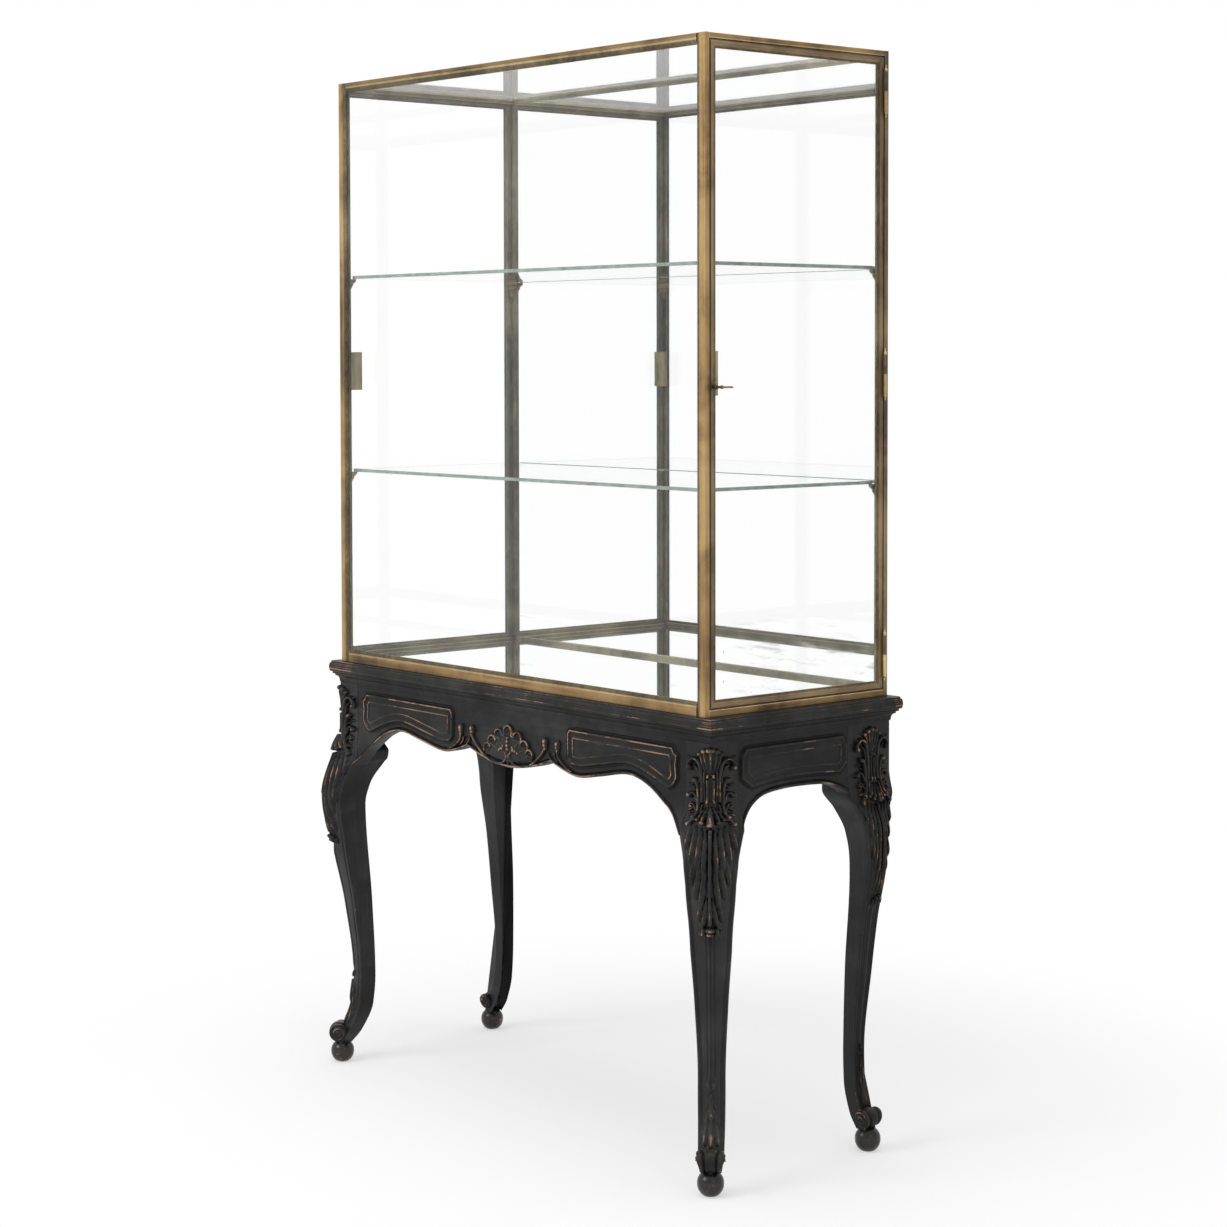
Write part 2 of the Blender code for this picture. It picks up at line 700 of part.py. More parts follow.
def apron_shell():
    """The fluted shell at the middle of the front apron: a fan of lobes that swell towards the rim."""
    base = Vector((0, -FRIEZE_Y - FIT, APRON_LOW + 0.016))
    sweep = math.radians(84)
    across = SHELL_LOBES * 6
    rows = 6
    bm = bmesh.new()
    grid = []
    for row in range(rows + 1):
        share = 0.12 + 0.88 * row / rows
        line = []
        for i in range(across + 1):
            turn = sweep * (2 * i / across - 1)
            lobe = abs(math.cos(math.pi * (SHELL_LOBES * i / across - 0.5)))
            reach = SHELL_R * share * (1 + 0.07 * lobe * share)
            depth = SHELL_DEEP * (0.35 + 0.65 * math.sin(math.pi * min(share, 0.96)) ** 0.7)
            depth *= 0.62 + 0.38 * lobe
            across_x = reach * math.sin(turn)
            up = reach * math.cos(turn) * SHELL_TALL
            line.append((across_x, up, depth))
        grid.append(line)
    front = [[bm.verts.new(base + Vector((x, -d, u))) for x, u, d in line] for line in grid]
    back = [[bm.verts.new(base + Vector((x, 0, u))) for x, u, d in line] for line in grid]
    for row in range(rows):
        for i in range(across):
            bm.faces.new((front[row][i], front[row][i + 1], front[row + 1][i + 1], front[row + 1][i]))
    rim = [*back[0], *[line[-1] for line in back[1:-1]], *reversed(back[-1])]
    rim += [line[0] for line in reversed(back[1:-1])]
    face = [*front[0], *[line[-1] for line in front[1:-1]], *reversed(front[-1])]
    face += [line[0] for line in reversed(front[1:-1])]
    for i in range(len(rim)):
        j = (i + 1) % len(rim)
        bm.faces.new((face[i], face[j], rim[j], rim[i]))
    bm.faces.new(rim)
    inner = set(rim)
    loose = [vert for line in back for vert in line if vert not in inner]
    bmesh.ops.delete(bm, geom=loose, context="VERTS")
    shell = piece("apron_shell", to_mesh(bm, "apron_shell"), EBONY, root)
    for side in (-1, 1):
        eye = base + Vector((side * 0.017, -0.0002, 0.0))
        add(shell, rod(eye, eye + Vector((0, -0.009, 0)), 0.0105, 14))


front_apron()
side_apron("left_apron", -1)
side_apron("right_apron", 1)
back_apron()
apron_shell()


# Case posts: a glazing bar with a bead on its face, a channel for the pane, and a lug for the corbels.
def bead(start, end):
    """The line of a moulded bead on a bar's face, from the groove beside the flat to the edge at the pane."""
    run = end - start
    return [
        (start - 0.0012, 0.0),
        (start - 0.0006, 0.0009),
        (start + 0.0002, 0.0009),
        (start + run * 0.12, 0.0003),
        (start + run * 0.50, 0.0005),
        (start + run * 0.85, 0.0016),
        (end, 0.0029),
        (end, GLASS_SEAT),
    ]


LUG_V0 = GLASS_SEAT + CHANNEL
LUG_V1 = LUG_V0 + LUG_T
LUG_Z0 = CASE_Z0 + 0.0195
LUG_Z1 = CASE_Z1 - 0.0145
SHELF_HEIGHTS = (CASE_Z0 + LOWER_SHELF_Z, CASE_Z0 + UPPER_SHELF_Z)


def corbel(name, top, side, end):
    """A quarter-turned corbel under a shelf's corner, seated on the lug of a post."""
    high = top - FIT
    profile = [
        (0.0, high),
        (CORBEL_R, high),
        (CORBEL_R, high - CORBEL_H * 0.10),
        (CORBEL_R * 0.88, high - CORBEL_H * 0.20),
        (CORBEL_R * 0.66, high - CORBEL_H * 0.30),
        (CORBEL_R * 0.66, high - CORBEL_H * 0.40),
        (CORBEL_R * 0.46, high - CORBEL_H * 0.58),
        (CORBEL_R * 0.32, high - CORBEL_H * 0.80),
        (CORBEL_R * 0.36, high - CORBEL_H * 0.90),
        (CORBEL_R * 0.20, high - CORBEL_H),
        (0.0, high - CORBEL_H),
    ]
    at_x = side * (HALF_W - LUG_IN - FIT)
    at_y = end * (HALF_D - LUG_V1 - FIT)
    whole = piece(name, turned(profile, (at_x, at_y, 0), 24), BRASS, root)
    low = (at_x - side * FIT / 2, at_y - end * FIT / 2, high - 2 * CORBEL_H)
    far = (at_x - side * 2 * CORBEL_R, at_y - end * 2 * CORBEL_R, high + CORBEL_H)
    combine(whole, box(low, far, "quarter"), "INTERSECT")


def post(name, side, end):
    """side is 1 on the right; end is -1 at the front."""
    def at(u, v):
        return (side * (HALF_W - u), end * (HALF_D - v))

    section = [
        (0.0, 0.0),
        *bead(0.0145, POST_FACE),
        (POST_BODY, GLASS_SEAT),
        (POST_BODY, POST_DEEP),
        (0.0, POST_DEEP),
    ]
    plane = axes((-1, 0, 0), (0, 1, 0), (HALF_W, -HALF_D, (CASE_Z0 + CASE_Z1) / 2))
    mirror = Matrix.Diagonal((side, -end, 1, 1))
    bar = piece(name, outline(section, CASE_H, mirror @ plane), BRASS, root)
    lug = box((*at(LUG_IN, LUG_V0), LUG_Z0), (*at(LUG_OUT, LUG_V1), LUG_Z1), "lug")
    add(bar, lug)
    web = box((*at(LUG_IN, POST_DEEP - 0.002), LUG_Z0), (*at(POST_BODY - 0.001, LUG_V1 - 0.001), LUG_Z1))
    add(bar, web)
    if end < 0:
        low = BOLT_Z - BOLT_H / 2 - BOLT_PLAY
        high = BOLT_Z + BOLT_H / 2 + BOLT_PLAY
        depth = DOOR_FRONT + HALF_D + LOCK_SET + 0.0005 - BOLT_THROW - BOLT_PLAY
        bolt_far = DOOR_T + FIT + LOCK_WALL / 2 + BOLT_PLAY + BOLT_T
        mouth = (*at(LUG_IN - FIT, depth), low)
        cut(bar, box(mouth, (*at(bolt_far + BOLT_PLAY, 0.05), high), "mortise"))


for post_name, post_side, post_end in (
    ("front_left_post", -1, -1),
    ("front_right_post", 1, -1),
    ("back_left_post", -1, 1),
    ("back_right_post", 1, 1),
):
    post(post_name, post_side, post_end)
    for shelf_word, shelf_z in zip(("lower", "upper"), SHELF_HEIGHTS):
        corbel_name = post_name.replace("post", f"{shelf_word}_corbel")
        corbel(corbel_name, shelf_z - SHELF_T / 2, post_side, post_end)


# Rails between the posts.
def long_rails(word, end):
    """The front or back rails, each with a bead on its face and a ledge on its inner side."""
    run = CASE_W - 2 * (POST_FACE + FIT)
    deep = LUG_V0 + LEDGE_W
    top = [
        (0.0, 0.0),
        *bead(0.0085, TOP_RAIL_H),
        (0.0115, GLASS_SEAT),
        (0.0115, LUG_V0),
        (0.0140, LUG_V0),
        (0.0140, deep),
        (0.0068, deep),
        (0.0068, POST_DEEP),
        (0.0, POST_DEEP),
    ]
    low = [
        (0.0, 0.0),
        *bead(BOTTOM_BODY_H, BOTTOM_RAIL_H),
        (BOTTOM_BODY_H + 0.0008, GLASS_SEAT),
        (BOTTOM_BODY_H + 0.0008, LUG_V0),
        (BOTTOM_BODY_H + 0.0030, LUG_V0),
        (BOTTOM_BODY_H + 0.0030, deep),
        (0.0, deep),
    ]
    flip = Matrix.Diagonal((1, -end, 1, 1))
    plane = axes((0, 0, -1), (0, 1, 0), (0, -HALF_D, CASE_Z1))
    piece(f"{word}_top_rail", outline(top, run, flip @ plane), BRASS, root)
    plane = axes((0, 0, 1), (0, 1, 0), (0, -HALF_D, CASE_Z0))
    piece(f"{word}_bottom_rail", outline(low, run, flip @ plane), BRASS, root)


def side_rails(word, side):
    """The rails above and below a door, each with a lip that the door closes against."""
    run = CASE_D - 2 * (POST_DEEP + FIT)
    stop = DOOR_T + 0.0005
    deep = stop + LEDGE_W
    top = [
        (0.0, 0.0),
        (SIDE_TOP_H - 0.0016, 0.0),
        (SIDE_TOP_H, 0.0012),
        (SIDE_TOP_H, stop),
        (SIDE_TOP_H + DOOR_GAP + 0.0035, stop),
        (SIDE_TOP_H + DOOR_GAP + 0.0035, deep),
        (0.0068, deep),
        (0.0068, stop),
        (0.0, stop),
    ]
    low = [
        (0.0, 0.0),
        (SIDE_BOTTOM_H - 0.0016, 0.0),
        (SIDE_BOTTOM_H, 0.0012),
        (SIDE_BOTTOM_H, stop),
        (SIDE_BOTTOM_H + DOOR_GAP + 0.0035, stop),
        (SIDE_BOTTOM_H + DOOR_GAP + 0.0035, deep),
        (0.0, deep),
    ]
    flip = Matrix.Diagonal((side, 1, 1, 1))
    plane = axes((0, 0, -1), (-1, 0, 0), (HALF_W, 0, CASE_Z1))
    piece(f"{word}_top_rail", outline(top, run, flip @ plane), BRASS, root)
    plane = axes((0, 0, 1), (-1, 0, 0), (HALF_W, 0, CASE_Z0))
    piece(f"{word}_bottom_rail", outline(low, run, flip @ plane), BRASS, root)


long_rails("front", -1)
long_rails("back", 1)
side_rails("left", -1)
side_rails("right", 1)


# Panes, mirrors and boards.
def panes():
    wide = HALF_W - POST_BODY - FIT
    low = CASE_Z0 + BOTTOM_BODY_H + 0.0008 + FIT
    high = CASE_Z1 - 0.0115 - FIT
    front = -HALF_D + GLASS_SEAT + FIT / 2
    piece("front_glass", box((-wide, front, low), (wide, front + PANE_T, high)), GLASS, root)
    rear = HALF_D - GLASS_SEAT - FIT / 2
    board = rear - BACKING_T
    piece("back_board", box((-wide, rear, low), (wide, board, high)), PINE, root)
    silver = board - FIT / 2
    piece("back_mirror", box((-wide, silver, low), (wide, silver - MIRROR_T, high)), MIRROR, root)
    inner_x = HALF_W - DOOR_T - 0.0005 - FIT
    inner_y = HALF_D - POST_DEEP - FIT
    top = CASE_Z1 - 0.0068 + FIT
    piece(
        "top_glass", box((-inner_x, -inner_y, top), (inner_x, inner_y, top + PANE_T)), GLASS, root
    )
    base_x = inner_x - LEDGE_W
    base_y = HALF_D - LUG_V0 - LEDGE_W - FIT
    under = CASE_Z0 + BASE_T
    piece("base_board", box((-base_x, -base_y, CASE_Z0), (base_x, base_y, under)), PINE, root)
    floor = under + FIT
    piece(
        "floor_mirror",
        box((-base_x, -base_y, floor), (base_x, base_y, floor + FLOOR_MIRROR_T)),
        MIRROR,
        root,
    )
    shelf_x = HALF_W - SHELF_SIDE_INSET
    shelf_y = HALF_D - SHELF_END_INSET
    for shelf, height in zip(("lower_shelf", "upper_shelf"), SHELF_HEIGHTS):
        under = height - SHELF_T / 2
        piece(
            shelf,
            box((-shelf_x, -shelf_y, under), (shelf_x, shelf_y, under + SHELF_T)),
            GLASS,
            root,
        )


panes()


# Doors: mitred frames with a rebate for the glass, a rim lock, and three finial hinges each.
def door_bar(section, start, end, inward, side):
    """A bar with mitred ends; section is (distance in from the frame's edge, depth from its face)."""
    rings = []
    for corner, along in ((start, 1), (end, -1)):
        run = (Vector(end) - Vector(start)).normalized() * along
        ring = []
        for back, deep in section:
            y, z = Vector(corner) + Vector(inward) * back + run * (back + FIT / 2)
            ring.append((side * (HALF_W - deep), y, z))
        rings.append(ring)
    return loft(rings)


def door(word, side, body):
    section = [
        (0.0, 0.0),
        (0.0085, 0.0),
        (0.0091, 0.0009),
        (0.0098, 0.0003),
        (STILE_W, 0.0018),
        (STILE_W, DOOR_LIP),
        (STILE_W - DOOR_OVERLAP, DOOR_LIP),
        (STILE_W - DOOR_OVERLAP, DOOR_T),
        (0.0, DOOR_T),
    ]
    front_low = (DOOR_FRONT, DOOR_Z0)
    front_high = (DOOR_FRONT, DOOR_Z1)
    back_low = (DOOR_BACK, DOOR_Z0)
    back_high = (DOOR_BACK, DOOR_Z1)
    lock_stile = piece(
        f"{word}_lock_stile", door_bar(section, front_low, front_high, (1, 0), side), BRASS, body
    )
    hinge_stile = piece(
        f"{word}_hinge_stile", door_bar(section, back_low, back_high, (-1, 0), side), BRASS, body
    )
    piece(f"{word}_door_top_rail", door_bar(section, front_high, back_high, (0, -1), side), BRASS, body)
    piece(f"{word}_door_bottom_rail", door_bar(section, front_low, back_low, (0, 1), side), BRASS, body)
    inset = STILE_W - DOOR_OVERLAP + FIT
    outer = side * (HALF_W - DOOR_LIP - FIT)
    piece(
        f"{word}_door_glass",
        box(
            (outer, DOOR_FRONT + inset, DOOR_Z0 + inset),
            (outer - side * DOOR_GLASS_T, DOOR_BACK - inset, DOOR_Z1 - inset),
        ),
        GLASS,
        body,
    )
    through = rod((side * (HALF_W + 0.01), KEY_Y, KEY_Z), (side * (HALF_W - 0.03), KEY_Y, KEY_Z), KEYHOLE_R)
    rosette = rod(
        (side * (HALF_W - 0.001), KEY_Y, KEY_Z), (side * (HALF_W + ROSETTE_T), KEY_Y, KEY_Z), ROSETTE_R, 16
    )
    add(lock_stile, rosette)
    cut(lock_stile, through)
    lock(word, side, body, through)
    return hinge_stile


def lock(word, side, body, keyway):
    """The rim lock on the inner face of the lock stile: a box with a slot for its bolt and a hole for the key."""
    near = side * (HALF_W - DOOR_T - FIT)
    far = near - side * LOCK_T
    front = DOOR_FRONT + LOCK_SET
    back = front + LOCK_W
    low = LOCK_MID - LOCK_H / 2
    high = LOCK_MID + LOCK_H / 2
    case = piece(f"{word}_lock_case", box((near, front, low), (far, back, high)), BRASS, body)
    wall = LOCK_WALL
    room = box(
        (near - side * wall * 0.5, front + wall, low + wall), (far + side * wall, back - wall, high - wall), "room"
    )
    cut(case, room)
    bolt_near = near - side * (wall / 2 + BOLT_PLAY)
    bolt_far = bolt_near - side * BOLT_T
    slot = box(
        (bolt_near + side * 0.0002, front - 0.01, BOLT_Z - BOLT_H / 2 - BOLT_PLAY),
        (bolt_far - side * BOLT_PLAY, front + 0.01, BOLT_Z + BOLT_H / 2 + BOLT_PLAY),
        "slot",
    )
    cut(case, slot)
    entry = keyway.copy()
    entry.transform(Matrix.Translation((side * 0.009, 0, 0)))
    cut(case, entry)
    tip = front + 0.0005
    spot = empty(f"{word}_bolt_slide", (bolt_near, tip, BOLT_Z), body)
    piece(
        f"{word}_lock_bolt",
        box((bolt_near, tip, BOLT_Z - BOLT_H / 2), (bolt_far, tip + BOLT_L, BOLT_Z + BOLT_H / 2)),
        BRIGHT,
        spot,
    )


def hinge(word, side, stile, height, label):
    """A hinge of two knuckles: the post's leaf holds the pin and both finials, the door stile's leaf turns on it."""
    axis = Vector((side * HINGE_X, HINGE_Y, 0))
    gap = FIT
    top = height + KNUCKLE_L
    low = height - KNUCKLE_L
    finial = ((0.0, 1.0), (0.30, 0.92), (0.42, 0.74), (0.30, 0.56), (0.78, 0.40), (0.96, 0.22), (0.70, 0.06))
    above = [(r * KNUCKLE_R, top + gap + h * FINIAL_H) for r, h in finial]
    below = [(r * KNUCKLE_R, low - h * FINIAL_H) for r, h in reversed(finial)]
    profile = [
        *above,
        (KNUCKLE_R * 0.95, top + gap),
        (PIN_R, top + gap),
        (PIN_R, height),
        (KNUCKLE_R, height),
        (KNUCKLE_R, low),
        *below,
    ]
    fixed = piece(f"{word}_hinge_pin_{label}", turned(profile, axis, 10), BRIGHT, root)
    plate_x = side * (HALF_W - LEAF_W)
    clear = KNUCKLE_R + 2 * gap
    post_y = DOOR_BACK + HINGE_GAP - gap
    post_leaf = box(
        (plate_x, post_y - LEAF_T, low), (side * (HINGE_X - clear), post_y, top - gap), "leaf"
    )
    add(fixed, post_leaf)
    neck = box(
        (plate_x + side * 0.002, post_y - LEAF_T, low + 0.001), (side * (HINGE_X - 0.001), post_y, height - gap)
    )
    add(fixed, neck)
    barrel = rod(axis + Vector((0, 0, height + gap)), axis + Vector((0, 0, top)), KNUCKLE_R, 12)
    add(stile, barrel)
    sunk = DOOR_BACK - 0.0005
    door_y = DOOR_BACK + gap + LEAF_T
    add(stile, box((plate_x, sunk, low + gap), (side * (HINGE_X - clear), door_y, top), "leaf"))
    reach = (side * (HINGE_X - 0.001), door_y, top - 0.001)
    add(stile, box((plate_x + side * 0.002, sunk, height + 2 * gap), reach, "neck"))
    bore = rod(axis + Vector((0, 0, height - 0.01)), axis + Vector((0, 0, top + 0.01)), BORE_R, 12)
    cut(stile, bore)


def key(body):
    """The key in the right lock: stem, collar, bit and a round bow lying flat."""
    spot = empty("right_key_turn", (HALF_W, KEY_Y, KEY_Z), body)
    inside = HALF_W - DOOR_T - FIT - LOCK_T + LOCK_WALL + 0.0008
    ring_x = HALF_W + KEY_OUT - BOW_R - BOW_WIRE
    stem = rod((inside, KEY_Y, KEY_Z), (ring_x - BOW_R, KEY_Y, KEY_Z), STEM_R, 12)
    made = piece("right_key", stem, BRIGHT, spot)
    collar = HALF_W + ROSETTE_T + 0.003
    add(made, rod((collar, KEY_Y, KEY_Z), (collar + 0.006, KEY_Y, KEY_Z), STEM_R * 1.7, 12))
    add(made, rod((ring_x - BOW_R - 0.005, KEY_Y, KEY_Z), (ring_x - BOW_R - 0.002, KEY_Y, KEY_Z), STEM_R * 1.5, 12))
    ring = bpy.data.curves.new("bow", "CURVE")
    ring.dimensions = "3D"
    ring.bevel_depth = BOW_WIRE
    ring.bevel_resolution = 1
    circle = ring.splines.new("POLY")
    circle.points.add(19)
    circle.use_cyclic_u = True
    for i, spot_on in enumerate(circle.points):
        turn = 2 * math.pi * i / 20
        spot_on.co = (ring_x + BOW_R * math.cos(turn), KEY_Y + BOW_R * math.sin(turn), KEY_Z, 1)
    bow = bpy.data.objects.new("bow", ring)
    cutters.objects.link(bow)
    add(made, evaluated_mesh(bow, "bow"))
    add(
        made,
        box(
            (inside + 0.0004, KEY_Y - 0.0009, KEY_Z - BIT_REACH),
            (inside + BIT_L, KEY_Y + 0.0009, KEY_Z),
            "bit",
        ),
    )


hinge_heights = {
    "bottom": DOOR_Z0 + HINGE_INSET,
    "middle": (DOOR_Z0 + DOOR_Z1) / 2,
    "top": DOOR_Z1 - HINGE_INSET,
}
for door_word, door_side in (("left", -1), ("right", 1)):
    swing = empty(f"{door_word}_door_swing", (door_side * HINGE_X, HINGE_Y, DOOR_Z0), root)
    stile_with_hinges = door(door_word, door_side, swing)
    for hinge_label, hinge_z in hinge_heights.items():
        hinge(door_word, door_side, stile_with_hinges, hinge_z, hinge_label)
    if door_side > 0:
        key(swing)
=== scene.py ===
# %% [markdown]
# A vitrine: a brass-framed glass case on an ebonised stand with carved cabriole legs. The imported solids
# give every place and size, so this lesson only dresses them. It loads the frame and reads a few sizes off
# the nodes. Pieces that carry carving or moulding replace their node; plain ones are softened copies of it.

import json
import math

import bmesh
import bpy
import numpy as np
from mathutils import Matrix, Vector


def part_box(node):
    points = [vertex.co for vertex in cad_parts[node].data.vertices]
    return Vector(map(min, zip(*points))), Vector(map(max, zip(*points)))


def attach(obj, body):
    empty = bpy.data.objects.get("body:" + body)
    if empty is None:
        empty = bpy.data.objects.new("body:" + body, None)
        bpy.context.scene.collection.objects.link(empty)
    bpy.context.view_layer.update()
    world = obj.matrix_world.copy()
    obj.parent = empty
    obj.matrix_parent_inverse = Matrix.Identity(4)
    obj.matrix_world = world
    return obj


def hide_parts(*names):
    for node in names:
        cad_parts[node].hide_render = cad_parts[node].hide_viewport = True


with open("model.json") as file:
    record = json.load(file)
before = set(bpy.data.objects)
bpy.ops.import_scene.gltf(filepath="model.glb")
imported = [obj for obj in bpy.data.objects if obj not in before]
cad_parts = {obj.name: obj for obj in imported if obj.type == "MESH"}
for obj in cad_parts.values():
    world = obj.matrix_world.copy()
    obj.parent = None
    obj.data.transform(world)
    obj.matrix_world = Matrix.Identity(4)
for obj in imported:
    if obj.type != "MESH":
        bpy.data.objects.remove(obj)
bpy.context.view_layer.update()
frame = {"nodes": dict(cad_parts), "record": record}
MM = 0.001
CASE = "stand_and_case"
top_low, top_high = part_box("table_top")
MIDDLE_Y = (top_low.y + top_high.y) / 2
TABLE_H = top_high.z
PANEL_RISE = 3 * MM
LEG_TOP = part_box("front_apron")[1].z
FRIEZE_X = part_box("right_apron")[1].x - PANEL_RISE
FRIEZE_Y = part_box("back_apron")[1].y - MIDDLE_Y
print("frame", len(frame["nodes"]), "nodes, stand", round(TABLE_H, 4))
print("frieze", round(FRIEZE_X, 4), round(FRIEZE_Y, 4))

# %% [markdown]
# The camera stands off the front right corner, a little above the middle, looking slightly down. Its place
# was worked out from the straight lines of the case, so it is set as a matrix of three directions. A small
# lens shift moves the picture up, as the photograph was cropped.

# %% Camera
CAMERA_AT = Vector((3.564, MIDDLE_Y - 2.98816, 1.3624))
YAW, PITCH, ROLL = math.radians(49.70), math.radians(-2.362), math.radians(-0.104)
FOCAL_LENGTH, SENSOR_WIDTH, SHIFT_UP = 75.38, 36, -0.1245
ahead = Vector((-math.sin(YAW) * math.cos(PITCH), math.cos(YAW) * math.cos(PITCH), math.sin(PITCH)))
level_right = Vector((math.cos(YAW), math.sin(YAW), 0))
level_up = level_right.cross(ahead)
view_right = math.cos(ROLL) * level_right + math.sin(ROLL) * level_up
view_up = math.cos(ROLL) * level_up - math.sin(ROLL) * level_right
lens = bpy.data.cameras.new("camera")
lens.lens = FOCAL_LENGTH
lens.sensor_width = SENSOR_WIDTH
lens.shift_y = SHIFT_UP
camera = bpy.data.objects.new("camera", lens)
turn = Matrix((view_right, view_up, -ahead)).transposed().to_4x4()
camera.matrix_world = Matrix.Translation(CAMERA_AT) @ turn
bpy.context.scene.collection.objects.link(camera)
bpy.context.scene.camera = camera
print("camera", [round(c, 3) for c in camera.location])

# %% [markdown]
# Materials are node trees, so a few small helpers keep them readable: they add a node with its settings,
# join two sockets, start a node group, and make a colour ramp. Effects that several finishes share are node
# groups with named sockets, built once.

# %% Helpers for node trees
# A Mix node has a pair of inputs for each kind of value, so they are reached by number.
FLOAT_A, FLOAT_B, COLOUR_A, COLOUR_B, COLOUR_OUT = 2, 3, 6, 7, 2
SMOOTH = {"interpolation_type": "SMOOTHSTEP"}
NUMBER, DIRECTION = "NodeSocketFloat", "NodeSocketVector"
MULTIPLY, LARGER = {"operation": "MULTIPLY"}, {"operation": "MAXIMUM"}


def node(tree, kind, settings=None, **values):
    """Adds a node; settings are its properties, values its input sockets by name."""
    made = tree.nodes.new(kind)
    for key, value in (settings or {}).items():
        setattr(made, key, value)
    for key, value in values.items():
        made.inputs[key.replace("_", " ")].default_value = value
    return made


def join(tree, source, socket, target, into):
    tree.links.new(source.outputs[socket], target.inputs[into])


def group(name, inputs, outputs):
    """An empty node group with float or vector inputs and float outputs, and its two end nodes."""
    tree = bpy.data.node_groups.new(name, "ShaderNodeTree")
    for label, kind, value in inputs:
        made = tree.interface.new_socket(label, in_out="INPUT", socket_type=kind)
        made.default_value = value
    for label in outputs:
        tree.interface.new_socket(label, in_out="OUTPUT", socket_type=NUMBER)
    return tree, tree.nodes.new("NodeGroupInput"), tree.nodes.new("NodeGroupOutput")


def ramp(tree, stops):
    """A colour ramp from (place, colour) stops."""
    made = tree.nodes.new("ShaderNodeValToRGB")
    elements = made.color_ramp.elements
    while len(elements) < len(stops):
        elements.new(0.5)
    for element, (place, colour) in zip(elements, stops):
        element.position = place
        element.color = (*colour, 1)
    return made


print("node helpers ready")

# %% [markdown]
# Three effects recur. Streaks are noise stretched along the way a bar was drawn or a board was brushed.
# Blotches are slow patches of tarnish or handling. Rubbing is a mask that starts from a stored value, high
# on arrises and carved ridges and below zero in hollows, where the wood takes painted shade instead, and is
# broken up by noise so that the finish wears through unevenly.

# %% Shared effects
def streaks_group():
    inputs = [("Along", DIRECTION, (1, 1, 1)), ("Detail", NUMBER, 4.0)]
    tree, start, end = group("streaks", inputs, ["Streak"])
    place = node(tree, "ShaderNodeTexCoord")
    stretch = node(tree, "ShaderNodeVectorMath", {"operation": "MULTIPLY"})
    noise = node(tree, "ShaderNodeTexNoise", Scale=1.0, Roughness=0.62)
    join(tree, place, "Object", stretch, 0)
    join(tree, start, "Along", stretch, 1)
    join(tree, stretch, 0, noise, "Vector")
    join(tree, start, "Detail", noise, "Detail")
    join(tree, noise, "Fac", end, "Streak")
    return tree


def blotches_group():
    inputs = [("Scale", NUMBER, 8.0), ("Low", NUMBER, 0.4), ("High", NUMBER, 0.65)]
    tree, start, end = group("blotches", inputs, ["Blotch"])
    place = node(tree, "ShaderNodeTexCoord")
    noise = node(tree, "ShaderNodeTexNoise", Detail=5.0, Roughness=0.6, Distortion=0.4)
    spread = node(tree, "ShaderNodeMapRange", SMOOTH)
    join(tree, place, "Object", noise, "Vector")
    join(tree, start, "Scale", noise, "Scale")
    join(tree, noise, "Fac", spread, "Value")
    join(tree, start, "Low", spread, "From Min")
    join(tree, start, "High", spread, "From Max")
    join(tree, spread, "Result", end, "Blotch")
    return tree


# The scale of the slow noise against the fine one, and how soon a stored value lets the wear show in full.
SLOW_SCALE, WEAR_ONSET = 0.24, 1.5


def rubbing_group():
    inputs = [("Rub", NUMBER, 0.0), ("Scale", NUMBER, 60.0), ("Keep", NUMBER, 0.8)]
    tree, start, end = group("rubbing", inputs, ["Worn"])
    place = node(tree, "ShaderNodeTexCoord")
    patches = node(tree, "ShaderNodeTexNoise", Detail=6.0, Roughness=0.7)
    slower = node(tree, "ShaderNodeMath", MULTIPLY)
    slower.inputs[1].default_value = SLOW_SCALE
    stretches = node(tree, "ShaderNodeTexNoise", Detail=2.0, Roughness=0.5)
    shifted = node(tree, "ShaderNodeMapRange", From_Min=0.30, From_Max=0.70, To_Min=-0.16, To_Max=0.16)
    summed = node(tree, "ShaderNodeMath", {"operation": "ADD"})
    weigh = node(tree, "ShaderNodeMath", {"operation": "ADD"})
    less = node(tree, "ShaderNodeMath", {"operation": "SUBTRACT"})
    edge = node(tree, "ShaderNodeMapRange", SMOOTH, From_Min=0.0, From_Max=0.10)
    full = node(tree, "ShaderNodeMath", {"operation": "MULTIPLY", "use_clamp": True})
    full.inputs[1].default_value = WEAR_ONSET
    gate = node(tree, "ShaderNodeMath", {"operation": "MULTIPLY", "use_clamp": True})
    join(tree, place, "Object", patches, "Vector")
    join(tree, start, "Scale", patches, "Scale")
    join(tree, start, "Rub", weigh, 0)
    join(tree, start, "Scale", slower, 0)
    join(tree, place, "Object", stretches, "Vector")
    join(tree, slower, 0, stretches, "Scale")
    join(tree, stretches, "Fac", shifted, "Value")
    join(tree, patches, "Fac", summed, 0)
    join(tree, shifted, "Result", summed, 1)
    join(tree, summed, 0, weigh, 1)
    join(tree, weigh, 0, less, 0)
    join(tree, start, "Keep", less, 1)
    join(tree, less, 0, edge, "Value")
    join(tree, start, "Rub", full, 0)
    join(tree, edge, "Result", gate, 0)
    join(tree, full, 0, gate, 1)
    join(tree, gate, 0, end, "Worn")
    return tree


STREAKS, BLOTCHES, RUBBING = streaks_group(), blotches_group(), rubbing_group()
print("effects", [made.name for made in (STREAKS, BLOTCHES, RUBBING)])

# %% [markdown]
# A finish starts as a new material with one main shader. The shared groups are placed in it with their own
# values.

# %% Starting a finish
def effect(tree, made, **values):
    """Places one of the shared groups in a material with its own values."""
    used = tree.nodes.new("ShaderNodeGroup")
    used.node_tree = made
    for key, value in values.items():
        used.inputs[key].default_value = value
    return used


def finish_named(name):
    """A new material, its tree and its main shader."""
    made = bpy.data.materials.new(name)
    made.use_nodes = True
    return made, made.node_tree, made.node_tree.nodes["Principled BSDF"]


print("finishes can start")
